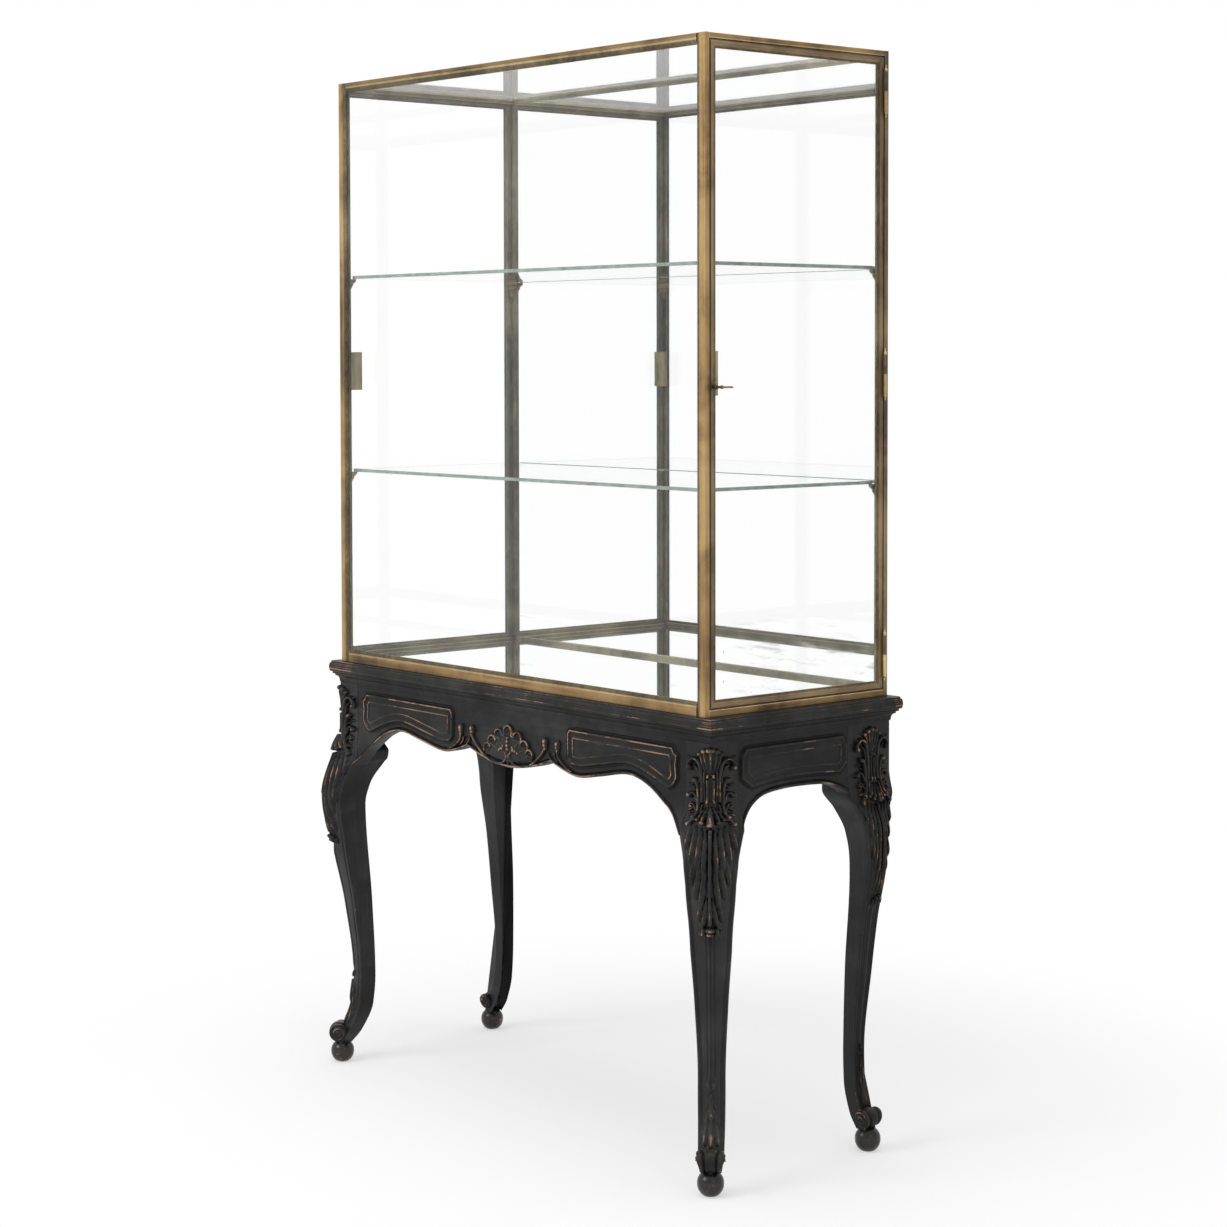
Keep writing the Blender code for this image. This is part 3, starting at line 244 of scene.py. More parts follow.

# %% [markdown]
# The brass is drawn bar, lacquered long ago and gone dull: brown in the streaks, gilt where hands polish
# it. The streaks follow the bar, so uprights, long rails and short rails each have a finish with its own
# direction. Its tones change with the place, and much of that is painted light: the front posts are a lit,
# brighter copy of the rail brass and the front top rail a darker copy as painted shade, sloped beads and all
# inner faces take painted shade, the joint lines of the doors a painted shadow, and arrises are bright,
# partly from polish and partly as a painted highlight. The doors are browner and the back frame a dull olive.
# One function makes them all from three tones. The metal is only partly a mirror, because old lacquer
# scatters light.

# %% Aged brass
# Each finish has three tones: in the streaks, between them, and where it is polished.
RAIL_TONES = ((0.085, 0.050, 0.020), (0.285, 0.178, 0.072), (0.40, 0.270, 0.122))
# Sloped faces of beads take these darker tones as painted shade.
SLOPE_SHADE_TONES = ((0.030, 0.022, 0.012), (0.100, 0.075, 0.040), (0.190, 0.145, 0.078))
# A dull olive: the tone of the back frame and corbels, and painted shade on faces that look into the case.
BACK_AND_SHADE_TONES = ((0.040, 0.037, 0.023), (0.120, 0.114, 0.074), (0.205, 0.197, 0.136))
DOOR_TONES = ((0.060, 0.040, 0.021), (0.205, 0.139, 0.072), (0.325, 0.230, 0.128))
# The front top rail is a darker copy of the rail brass, a painted shade where the lamps light it most.
TOP_SHADED_TONES = ((0.055, 0.033, 0.014), (0.188, 0.120, 0.050), (0.265, 0.180, 0.084))
# Near black: a painted shadow for the gap along each door's joint.
GAP_SHADOW_TONES = ((0.006, 0.004, 0.002), (0.014, 0.010, 0.006), (0.030, 0.021, 0.012))
# The uprights are a brighter copy of the rail tones, as painted light.
POST_LIT_TONES = ((0.107, 0.063, 0.025), (0.359, 0.224, 0.088), (0.504, 0.340, 0.149))
CASE_TONES = ((0.100, 0.085, 0.040), (0.300, 0.255, 0.125), (0.400, 0.350, 0.185))
KEY_TONES = ((0.060, 0.042, 0.022), (0.200, 0.145, 0.080), (0.460, 0.360, 0.220))
# Arrises are bright partly from polish and partly as a painted highlight; so are those of the doors.
ARRIS_POLISH_AND_HIGHLIGHT_TONES = ((0.36, 0.25, 0.12), (0.58, 0.43, 0.23), (0.78, 0.62, 0.36))
DOOR_ARRIS_POLISH_AND_HIGHLIGHT_TONES = ((0.15, 0.105, 0.052), (0.29, 0.205, 0.108), (0.44, 0.325, 0.180))
POLISHED_TONES = ((0.30, 0.20, 0.085), (0.56, 0.41, 0.20), (0.72, 0.56, 0.31))
GLOSS_SPREAD = 0.12


def aged_brass(name, along, tones, rough=0.44, metal=0.60):
    """Brass whose streaks are stretched by along: a small number runs them that way."""
    made, tree, shader = finish_named(name)
    streak = effect(tree, STREAKS, Along=along, Detail=6.0)
    patch = effect(tree, BLOTCHES, Scale=7.0, Low=0.30, High=0.72)
    fine = effect(tree, BLOTCHES, Scale=260.0, Low=0.35, High=0.75)
    blend = node(tree, "ShaderNodeMix", {"data_type": "FLOAT"}, Factor=0.36)
    tone = ramp(tree, [(0.26, tones[0]), (0.50, tones[1]), (0.74, tones[2])])
    join(tree, streak, "Streak", blend, FLOAT_A)
    join(tree, patch, "Blotch", blend, FLOAT_B)
    join(tree, blend, 0, tone, "Fac")
    join(tree, tone, "Color", shader, "Base Color")
    gloss = node(tree, "ShaderNodeMapRange", To_Min=rough + GLOSS_SPREAD, To_Max=rough - GLOSS_SPREAD)
    join(tree, blend, 0, gloss, "Value")
    join(tree, gloss, "Result", shader, "Roughness")
    pits = node(tree, "ShaderNodeBump", Strength=0.10, Distance=0.0006)
    join(tree, fine, "Blotch", pits, "Height")
    join(tree, pits, "Normal", shader, "Normal")
    shader.inputs["Metallic"].default_value = metal
    return made


BRASS_UP_LIT = aged_brass("aged_brass_uprights_painted_light", (150, 150, 3.0), POST_LIT_TONES)
BRASS_LONG = aged_brass("aged_brass_long_rails", (3.0, 150, 150), RAIL_TONES)
BRASS_SHORT = aged_brass("aged_brass_short_rails", (150, 3.0, 150), RAIL_TONES)
BRASS_TOP_SHADED = aged_brass("aged_brass_top_rail_painted_shade", (3.0, 150, 150), TOP_SHADED_TONES)
BRASS_SLOPE_SHADE = aged_brass("aged_brass_beads_painted_shade", (90, 90, 90), SLOPE_SHADE_TONES, rough=0.50, metal=0.5)
BRASS_BACK_AND_SHADE = aged_brass("aged_brass_back_frame_and_painted_shade", (60, 150, 60), BACK_AND_SHADE_TONES, rough=0.56, metal=0.35)
DOOR_UP = aged_brass("aged_brass_door_stiles", (150, 150, 3.0), DOOR_TONES, rough=0.48, metal=0.5)
DOOR_SHORT = aged_brass("aged_brass_door_rails", (150, 3.0, 150), DOOR_TONES, rough=0.48, metal=0.5)
BRASS_GAP_SHADOW = aged_brass("aged_brass_gap_shadows", (90, 90, 90), GAP_SHADOW_TONES, rough=0.60, metal=0.3)
BRASS_ARRIS_POLISH_AND_HIGHLIGHT = aged_brass("aged_brass_arrises_polish_and_highlight", (40, 40, 40), ARRIS_POLISH_AND_HIGHLIGHT_TONES, rough=0.34, metal=0.8)
DOOR_ARRIS_POLISH_AND_HIGHLIGHT = aged_brass("aged_brass_door_arrises_polish_and_highlight", (40, 40, 40), DOOR_ARRIS_POLISH_AND_HIGHLIGHT_TONES, rough=0.40, metal=0.6)
BRASS_POLISHED = aged_brass("polished_brass", (60, 60, 25), POLISHED_TONES, rough=0.30, metal=0.85)
LOCK_CASE = aged_brass("aged_brass_lock_cases", (60, 60, 25), CASE_TONES, rough=0.50, metal=0.4)
KEY_BRASS = aged_brass("polished_brass_key", (60, 60, 60), KEY_TONES, rough=0.34, metal=0.7)
print("brass finishes made")

# %% [markdown]
# Ebonised wood is stained black and waxed, with fine grain telling through. Its hollows take painted shade,
# its crests a grey that is partly dust and partly a painted sheen, and where edges have been rubbed, the
# copper-brown wood shows. The rubbing and the shade read the value that each piece stores on its points. The
# boards behind the mirrors are plain brown wood.

# %% Ebonised wood and backing wood
EBONY_DEEP, EBONY_MID = (0.0060, 0.0058, 0.0057), (0.0120, 0.0117, 0.0115)
EBONY_DUSTY = (0.025, 0.024, 0.0235)
CREST_DUST_AND_SHEEN = (0.092, 0.078, 0.068)
RUBBED_DARK, RUBBED_LIGHT = (0.185, 0.082, 0.040), (0.43, 0.245, 0.150)
RUBBED_PALE = (0.56, 0.40, 0.285)


def ebonised(name, along, wear_scale, gloss_range=(0.50, 0.30), shine=0.23):
    """Black wood, painted shade in hollows, crests grey from dust and painted sheen, bare where the stored
    value and the noise are high.
    """
    made, tree, shader = finish_named(name)
    grain = effect(tree, STREAKS, Along=along, Detail=5.0)
    patch = effect(tree, BLOTCHES, Scale=9.0, Low=0.35, High=0.70)
    stored = node(tree, "ShaderNodeAttribute", {"attribute_name": "rub_and_shade"})
    worn = effect(tree, RUBBING, Scale=wear_scale, Keep=1.0)
    blend = node(tree, "ShaderNodeMix", {"data_type": "FLOAT"}, Factor=0.45)
    stain = ramp(tree, [(0.25, EBONY_DEEP), (0.52, EBONY_MID), (0.80, EBONY_DUSTY)])
    bare = ramp(tree, [(0.30, RUBBED_DARK), (0.62, RUBBED_LIGHT)])
    # Below zero the stored value is painted shade: the stain is darkened to as little as a tenth in the
    # deepest hollows.
    hollow = node(tree, "ShaderNodeMapRange", From_Min=0.0, From_Max=-0.7, To_Min=1.0, To_Max=0.10)
    sunk = node(tree, "ShaderNodeMix", {"data_type": "RGBA", "blend_type": "MULTIPLY"}, Factor=1.0)
    # Crests are greyed in broken lines, partly as dust and partly as a painted sheen.
    crest = node(tree, "ShaderNodeMapRange", From_Min=0.15, From_Max=0.62, To_Min=0.0, To_Max=0.40)
    broken = effect(tree, BLOTCHES, Scale=28.0, Low=0.36, High=0.62)
    lined = node(tree, "ShaderNodeMath", MULTIPLY)
    hard = node(tree, "ShaderNodeMapRange", From_Min=0.62, From_Max=0.88, To_Min=0.0, To_Max=0.85)
    paler = node(tree, "ShaderNodeMix", {"data_type": "RGBA"})
    paler.inputs[COLOUR_B].default_value = (*RUBBED_PALE, 1)
    sheened_crests = node(tree, "ShaderNodeMix", {"data_type": "RGBA"})
    sheened_crests.inputs[COLOUR_B].default_value = (*CREST_DUST_AND_SHEEN, 1)
    colour = node(tree, "ShaderNodeMix", {"data_type": "RGBA"})
    join(tree, grain, "Streak", blend, FLOAT_A)
    join(tree, patch, "Blotch", blend, FLOAT_B)
    join(tree, blend, 0, stain, "Fac")
    join(tree, grain, "Streak", bare, "Fac")
    join(tree, stored, "Fac", worn, "Rub")
    join(tree, stored, "Fac", hollow, "Value")
    join(tree, stain, "Color", sunk, COLOUR_A)
    join(tree, hollow, "Result", sunk, COLOUR_B)
    join(tree, stored, "Fac", crest, "Value")
    join(tree, crest, "Result", lined, 0)
    join(tree, broken, "Blotch", lined, 1)
    join(tree, lined, 0, sheened_crests, 0)
    join(tree, sunk, COLOUR_OUT, sheened_crests, COLOUR_A)
    join(tree, worn, "Worn", colour, 0)
    join(tree, sheened_crests, COLOUR_OUT, colour, COLOUR_A)
    join(tree, stored, "Fac", hard, "Value")
    join(tree, hard, "Result", paler, 0)
    join(tree, bare, "Color", paler, COLOUR_A)
    join(tree, paler, COLOUR_OUT, colour, COLOUR_B)
    join(tree, colour, COLOUR_OUT, shader, "Base Color")
    gloss = node(tree, "ShaderNodeMapRange", To_Min=gloss_range[0], To_Max=gloss_range[1])
    join(tree, patch, "Blotch", gloss, "Value")
    join(tree, gloss, "Result", shader, "Roughness")
    pores = node(tree, "ShaderNodeBump", Strength=0.16, Distance=0.0008)
    join(tree, grain, "Streak", pores, "Height")
    join(tree, pores, "Normal", shader, "Normal")
    shader.inputs["Specular IOR Level"].default_value = shine
    return made


# The grain of the wear noise: fine on carving, coarse along boards.
CARVED_WEAR, BOARD_WEAR = 85.0, 24.0
EBONY_UP = ebonised("ebonised_wood_uprights", (170, 170, 9), CARVED_WEAR)
BALL_GLOSS, BALL_SHINE = (0.30, 0.18), 0.34
EBONY_BALL = ebonised("ebonised_wood_balls", (120, 120, 120), CARVED_WEAR, BALL_GLOSS, BALL_SHINE)
EBONY_SHELL = ebonised("ebonised_wood_shell", (9, 170, 170), CARVED_WEAR)
BOARD_GLOSS, BOARD_SHINE = (0.52, 0.34), 0.18
EBONY_LONG = ebonised("ebonised_wood_long", (9, 170, 170), BOARD_WEAR, BOARD_GLOSS, BOARD_SHINE)
EBONY_SHORT = ebonised("ebonised_wood_short", (170, 9, 170), BOARD_WEAR, BOARD_GLOSS, BOARD_SHINE)
BACKING_TONES = ((0.055, 0.034, 0.019), (0.115, 0.074, 0.043), (0.19, 0.128, 0.078))


def backing_wood():
    made, tree, shader = finish_named("backing_wood")
    grain = effect(tree, STREAKS, Along=(9, 150, 150), Detail=7.0)
    tone = ramp(tree, list(zip((0.28, 0.55, 0.78), BACKING_TONES)))
    join(tree, grain, "Streak", tone, "Fac")
    join(tree, tone, "Color", shader, "Base Color")
    pores = node(tree, "ShaderNodeBump", Strength=0.25, Distance=0.001)
    join(tree, grain, "Streak", pores, "Height")
    join(tree, pores, "Normal", shader, "Normal")
    shader.inputs["Roughness"].default_value = 0.62
    return made


BACKING = backing_wood()
print("wood finishes made")

# %% [markdown]
# Old plate glass is clear through its faces and grey-green along its cut edges, so each pane has two
# finishes. Light for shadows passes straight through, as it does through a thin pane.

# %% Clear glass
def clear_glass():
    made, tree, shader = finish_named("clear_glass")
    shader.inputs["Base Color"].default_value = (0.998, 1.0, 0.999, 1)
    shader.inputs["Transmission Weight"].default_value = 1.0
    shader.inputs["IOR"].default_value = 1.32
    smear = effect(tree, BLOTCHES, Scale=5.0, Low=0.50, High=0.85)
    haze = node(tree, "ShaderNodeMapRange", To_Min=0.0, To_Max=0.010)
    join(tree, smear, "Blotch", haze, "Value")
    join(tree, haze, "Result", shader, "Roughness")
    rays = node(tree, "ShaderNodeLightPath")
    through = node(tree, "ShaderNodeBsdfTransparent", Color=(0.985, 0.992, 0.987, 1))
    mixed = node(tree, "ShaderNodeMixShader")
    join(tree, rays, "Is Shadow Ray", mixed, 0)
    join(tree, shader, "BSDF", mixed, 1)
    join(tree, through, "BSDF", mixed, 2)
    join(tree, mixed, "Shader", tree.nodes["Material Output"], "Surface")
    return made


def glass_edge():
    made, tree, shader = finish_named("glass_cut_edge")
    bands = effect(tree, STREAKS, Along=(60, 60, 60), Detail=3.0)
    tone = ramp(tree, [(0.30, (0.105, 0.150, 0.122)), (0.70, (0.245, 0.300, 0.262))])
    join(tree, bands, "Streak", tone, "Fac")
    join(tree, tone, "Color", shader, "Base Color")
    shader.inputs["Roughness"].default_value = 0.22
    return made


CLEAR, CUT_EDGE = clear_glass(), glass_edge()
print("glass finishes made")

# %% [markdown]
# The mirrors are silvered glass. Damp has crept in from the edges of each plate, so small grey spots and
# faint drawn-out smears gather there. The spots and smears are noise, kept to some stretches by a slower
# noise, and weighed by the distance from the plate's middle, so they fade towards it.

# %% Antique mirror
MIRROR_TONES = ((0.985, 0.99, 0.985), (0.42, 0.43, 0.42), (0.10, 0.10, 0.105))


def antique_mirror(name, middle, half, smeared):
    made, tree, shader = finish_named(name)
    place = node(tree, "ShaderNodeTexCoord")
    shift = node(tree, "ShaderNodeVectorMath", {"operation": "SUBTRACT"})
    shift.inputs[1].default_value = middle
    share = node(tree, "ShaderNodeVectorMath", {"operation": "DIVIDE"})
    share.inputs[1].default_value = half
    apart = node(tree, "ShaderNodeVectorMath", {"operation": "ABSOLUTE"})
    split = node(tree, "ShaderNodeSeparateXYZ")
    wide = node(tree, "ShaderNodeMath", LARGER)
    most = node(tree, "ShaderNodeMath", LARGER)
    near = node(tree, "ShaderNodeMapRange", SMOOTH, From_Min=0.80, From_Max=1.0)
    spots = effect(tree, BLOTCHES, Scale=95.0, Low=0.69, High=0.75)
    smears = effect(tree, STREAKS, Along=(-11, 75, 75), Detail=5.0)
    faint = node(tree, "ShaderNodeMapRange", SMOOTH, From_Min=0.50, From_Max=0.72)
    stretch = effect(tree, STREAKS, Along=(-1.7, 13, 13), Detail=2.0)
    patches = node(tree, "ShaderNodeMapRange", SMOOTH, From_Min=0.50, From_Max=0.62)
    gathered = node(tree, "ShaderNodeMath", MULTIPLY)
    thin = node(tree, "ShaderNodeMath", MULTIPLY)
    thin.inputs[1].default_value = smeared
    both = node(tree, "ShaderNodeMath", LARGER)
    clouds = effect(tree, BLOTCHES, Scale=16.0, Low=0.46, High=0.70)
    weigh = node(tree, "ShaderNodeMath", MULTIPLY)
    foxed = node(tree, "ShaderNodeMath", {"operation": "MULTIPLY", "use_clamp": True})
    join(tree, place, "Object", shift, 0)
    join(tree, shift, 0, share, 0)
    join(tree, share, 0, apart, 0)
    join(tree, apart, 0, split, 0)
    join(tree, split, "X", wide, 0)
    join(tree, split, "Y", wide, 1)
    join(tree, wide, 0, most, 0)
    join(tree, split, "Z", most, 1)
    join(tree, most, 0, near, "Value")
    join(tree, spots, "Blotch", weigh, 0)
    join(tree, clouds, "Blotch", weigh, 1)
    join(tree, smears, "Streak", faint, "Value")
    join(tree, faint, "Result", gathered, 0)
    join(tree, stretch, "Streak", patches, "Value")
    join(tree, patches, "Result", gathered, 1)
    join(tree, gathered, 0, thin, 0)
    join(tree, weigh, 0, both, 0)
    join(tree, thin, 0, both, 1)
    join(tree, both, 0, foxed, 0)
    join(tree, near, "Result", foxed, 1)
    tone = ramp(tree, list(zip((0.0, 0.5, 1.0), MIRROR_TONES)))
    rough = node(tree, "ShaderNodeMapRange", To_Min=0.015, To_Max=0.45)
    metal = node(tree, "ShaderNodeMapRange", To_Min=1.0, To_Max=0.55)
    for made_node, into in ((tone, "Fac"), (rough, "Value"), (metal, "Value")):
        join(tree, foxed, 0, made_node, into)
    join(tree, tone, "Color", shader, "Base Color")
    join(tree, rough, "Result", shader, "Roughness")
    join(tree, metal, "Result", shader, "Metallic")
    return made


# A half size so large that the plate's edges across that axis stay clean.
FAR_OFF = 5.0


def plate_finish(name, plate, clean_axes, smeared, clear_top=0.0):
    """Foxing and smears near the edges of a plate, but not across its clean axes, nor near a clear top."""
    low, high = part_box(plate)
    high = high + Vector((0, 0, clear_top))
    half = [FAR_OFF if axis in clean_axes else (high[axis] - low[axis]) / 2 for axis in range(3)]
    return antique_mirror(name, (low + high) / 2, half, smeared)


MIRROR_BACK = plate_finish("antique_mirror_back", "back_mirror", (0, 1), smeared=0.42, clear_top=0.10)
MIRROR_FLOOR = plate_finish("antique_mirror_floor", "floor_mirror", (0, 2), smeared=0.30)
print("mirror finishes made")

# %% [markdown]
# A piece is an object at the origin whose place is in its mesh. It rides on the body of the node it stands
# for, takes its finishes, and is shaded smooth except across edges sharper than an angle.

# %% Making pieces
SOLID_WELD, FLAT_ANGLE = 1e-6, math.radians(0.6)


def piece(name, bm, finishes, body=CASE, replaced=(), crisp=40):
    """An object from a bmesh, with its finishes, body and the nodes it stands for."""
    mesh = bpy.data.meshes.new(name)
    bmesh.ops.recalc_face_normals(bm, faces=bm.faces)
    bm.to_mesh(mesh)
    bm.free()
    mesh.shade_smooth()
    mesh.set_sharp_from_angle(angle=math.radians(crisp))
    for finish in finishes:
        mesh.materials.append(finish)
    made = bpy.data.objects.new(name, mesh)
    bpy.context.scene.collection.objects.link(made)
    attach(made, body)
    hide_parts(*replaced)
    return made


def merged(node_name):
    """A copy of a node's mesh as one connected bmesh with its flat faces whole."""
    bm = bmesh.new()
    bm.from_mesh(frame["nodes"][node_name].data)
    bmesh.ops.remove_doubles(bm, verts=bm.verts, dist=SOLID_WELD)
    bmesh.ops.dissolve_limit(bm, angle_limit=FLAT_ANGLE, verts=bm.verts, edges=bm.edges)
    return bm


BODIES = frame["record"]["behaviour"]["bodies"]
BODY_OF = {member: body for body, members in BODIES.items() for member in members}

# %% [markdown]
# A plain piece is a copy of its solid with its arrises rounded by a bevel, as handling rounds them. One
# piece shows several finishes: faces are sorted by where they look, so that sloped faces and those that look
# into the case take painted shade, and the bevel gives its own strip the finish of an arris, bright partly as
# a painted highlight. A door would look welded to the case, so a narrow strip is cut along its joint and
# painted dark, as the shadow in the gap would be.

# %% Softened copies
# The places of the finishes in a piece's list, after the plain faces.
ARRIS_FACE, SLOPED_FACE, INNER_FACE, GAP_SHADOW_OR_OUTER_FACE = 1, 2, 3, 4
SQUARE_ON = 0.9992
BEVEL_ANGLE = math.radians(28)
# How far from the middle, along each axis, a face is that looks into the case, or out of its side.
INSIDE = (0.30, 0.12, 1.0)
SIDE_OUT = 0.516
# The edge of each door member that meets the case: its axis and direction, and the width of its painted
# shadow line.
GAP_SHADOW_EDGES = {
    "lock_stile": (1, -1, 2.4 * MM), "hinge_stile": (1, 1, 1.0 * MM),
    "door_top_rail": (2, 1, 1.2 * MM), "door_bottom_rail": (2, -1, 1.2 * MM),
}


def gap_shadow_strip(bm, name):
    """Cuts a narrow strip along the edge that meets the case and returns its outer faces, which take the
    painted shadow of the gap.
    """
    for ending, (axis, side, wide) in GAP_SHADOW_EDGES.items():
        if not name.endswith(ending):
            continue
        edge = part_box(name)[0 if side < 0 else 1][axis] - side * wide
        at, across = Vector(), Vector()
        at[axis], across[axis] = edge, side
        whole = bm.verts[:] + bm.edges[:] + bm.faces[:]
        bmesh.ops.bisect_plane(bm, geom=whole, plane_co=at, plane_no=across)
        bm.normal_update()
        return [
            face for face in bm.faces
            if abs(face.normal.x) > SQUARE_ON and (face.calc_center_median()[axis] - edge) * side > 0
        ]
    return []


def softened(name, finishes, body, width, crisp=32):
    """A copy of a node with its arrises rounded, in the second finish.

    Faces that slope take the third and those that look into the case the fourth, both as painted shade. The
    joint line of a door, a painted shadow, or the outer side of a back post takes the fifth.
    """
    bm = merged(name)
    bm.normal_update()
    if len(finishes) > SLOPED_FACE:
        line = gap_shadow_strip(bm, name)
        for face in bm.faces:
            middle = face.calc_center_median()
            inwards = Vector((-middle.x, MIDDLE_Y - middle.y, 0))
            level = max(range(3), key=lambda axis: abs(face.normal[axis]))
            outside = level == 0 and face.normal.x * middle.x > SIDE_OUT * SQUARE_ON
            # A door's joint strip is a painted shadow; sloped and inward faces take painted shade.
            if face in line or (outside and name.startswith("back_")):
                face.material_index = GAP_SHADOW_OR_OUTER_FACE
            elif abs(face.normal[level]) < SQUARE_ON:
                face.material_index = SLOPED_FACE
            elif face.normal[level] * inwards[level] > INSIDE[level]:
                face.material_index = INNER_FACE
    made = piece(name + "_finished", bm, finishes, body, [name], crisp=crisp)
    soften = made.modifiers.new("soften", "BEVEL")
    soften.width = width
    soften.segments = 2
    soften.limit_method = "ANGLE"
    soften.angle_limit = BEVEL_ANGLE
    soften.profile = 0.5
    # The bevel's strip takes the arris finish, bright partly from polish and partly as a painted highlight.
    soften.material = ARRIS_FACE if len(finishes) > ARRIS_FACE else -1
    soften.harden_normals = True
    return made


print("joint lines on", sorted(GAP_SHADOW_EDGES))

# %% [markdown]
# The brass frame needs no new shapes: posts, rails, stiles, corbels, hinges and locks are the solids with
# their arrises eased by half a millimetre. The eased edge is brighter, partly because that is where a cloth
# polishes it and partly as a painted highlight.

# %% The brass frame, doors, hinges and locks
EASE, FINE_EASE = 0.5 * MM, 0.3 * MM
SHADED = [BRASS_SLOPE_SHADE, BRASS_BACK_AND_SHADE]


def bar_finishes(name):
    """The finishes of an aged brass piece in the order that softened takes them, or None for others."""
    if name.startswith("back_") and name.endswith(("_post", "_rail")):
        return [BRASS_BACK_AND_SHADE, DOOR_ARRIS_POLISH_AND_HIGHLIGHT, *SHADED, DOOR_UP]
    if name.endswith("_corbel"):
        return [BRASS_BACK_AND_SHADE, DOOR_ARRIS_POLISH_AND_HIGHLIGHT, *SHADED]
    if name.endswith("_stile"):
        return [DOOR_UP, DOOR_ARRIS_POLISH_AND_HIGHLIGHT, *SHADED, BRASS_GAP_SHADOW]
    if "_door_" in name and name.endswith("_rail"):
        return [DOOR_SHORT, DOOR_ARRIS_POLISH_AND_HIGHLIGHT, *SHADED, BRASS_GAP_SHADOW]
    if name.endswith("_post"):
        return [BRASS_UP_LIT, BRASS_ARRIS_POLISH_AND_HIGHLIGHT, *SHADED]
    if name == "front_top_rail":
        return [BRASS_TOP_SHADED, BRASS_ARRIS_POLISH_AND_HIGHLIGHT, *SHADED]
    if name.endswith("_rail"):
        return [BRASS_LONG if name.startswith("front") else BRASS_SHORT, BRASS_ARRIS_POLISH_AND_HIGHLIGHT, *SHADED]
    if name.endswith("_lock_case"):
        return [LOCK_CASE, DOOR_ARRIS_POLISH_AND_HIGHLIGHT]
    return None


for name in sorted(frame["nodes"]):
    finishes = bar_finishes(name)
    if finishes:
        softened(name, finishes, BODY_OF[name], EASE)
    elif name.endswith("_key"):
        softened(name, [KEY_BRASS], BODY_OF[name], FINE_EASE)
    elif "hinge_pin" in name or name.endswith("_bolt"):
        softened(name, [BRASS_POLISHED], BODY_OF[name], FINE_EASE)

# %% [markdown]
# A pane is its solid with a tiny bevel, as ground glass edges have. Faces that look along the pane's
# thickness keep the clear finish; the narrow ones round it take the green of a cut edge.

# %% Panes and mirrors
GROUND_EDGE, BOARD_EDGE = 0.6 * MM, 1.0 * MM
FACE_ON = 0.9


def pane(name, finishes):
    bm = merged(name)
    low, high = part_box(name)
    thin = min(range(3), key=lambda axis: high[axis] - low[axis])
    bmesh.ops.bevel(
        bm, geom=bm.edges[:], offset=GROUND_EDGE, affect="EDGES", segments=2, profile=0.5, material=-1,
        clamp_overlap=True,
    )
    for face in bm.faces:
        face.material_index = 0 if abs(face.normal[thin]) > FACE_ON else 1
    return piece(name + "_finished", bm, finishes, BODY_OF[name], [name], crisp=8)


for name in ("front_glass", "top_glass", "lower_shelf", "upper_shelf", "left_door_glass", "right_door_glass"):
    pane(name, [CLEAR, CUT_EDGE])
pane("back_mirror", [MIRROR_BACK, CUT_EDGE])
pane("floor_mirror", [MIRROR_FLOOR, CUT_EDGE])
for name in ("back_board", "base_board"):
    softened(name, [BACKING], BODY_OF[name], BOARD_EDGE)
print("panes made")

# %% [markdown]
# The stand is carved wood, and carving is a height over a surface. A flat grid from create_grid is bent
# onto that surface, and each of its points is lifted by the carving under it. The same grid tells how far a
# point stands above its surroundings, which is where a finish rubs through, and how far it lies below them,
# where the hollow takes painted shade, so each point also stores that value.

# %% Bent grids
def bent_grid(columns, rows, place):
    """A grid whose points place(u, v) puts on the work; u and v run from 0 to 1. place also gives the value
    stored for wear and painted shade.
    """
    bm = bmesh.new()
    bmesh.ops.create_grid(bm, x_segments=columns, y_segments=rows, size=0.5)
    flat = np.array([vert.co for vert in bm.verts])
    shape = (rows + 1, columns + 1)
    u = (flat[:, 0] + 0.5).reshape(shape)
    v = (flat[:, 1] + 0.5).reshape(shape)
    points, rub_and_shade = place(u, v)
    stored = bm.verts.layers.float.new("rub_and_shade")
    for vert, point, value in zip(bm.verts, points.reshape(-1, 3), np.clip(rub_and_shade, -1, 1).reshape(-1)):
        vert.co = point
        vert[stored] = value
    return bm


SKIN_WELD = 2e-6


def closed_skin(bm):
    """Merges the seam of a wrapped grid and fills its open ends."""
    bmesh.ops.remove_doubles(bm, verts=bm.verts, dist=SKIN_WELD)
    rims = [edge for edge in bm.edges if edge.is_boundary]
    if rims:
        bmesh.ops.holes_fill(bm, edges=rims, sides=0)
    return bm


def standing_proud(height, passes):
    """How far each point of a height field stands above the mean of its surroundings."""
    mean = height
    for _ in range(passes):
        wide = np.pad(mean, 1, mode="edge")
        mean = (2 * mean + wide[:-2, 1:-1] + wide[2:, 1:-1] + wide[1:-1, :-2] + wide[1:-1, 2:]) / 6
    return height - mean


print("grid helpers ready")

# %% [markdown]
# Profiles and plans are given as a few points with a smooth line through them. One kind of line gives a
# value at each position and never overshoots, which suits the sides of a leg. The other is a pen line over
# a plan.

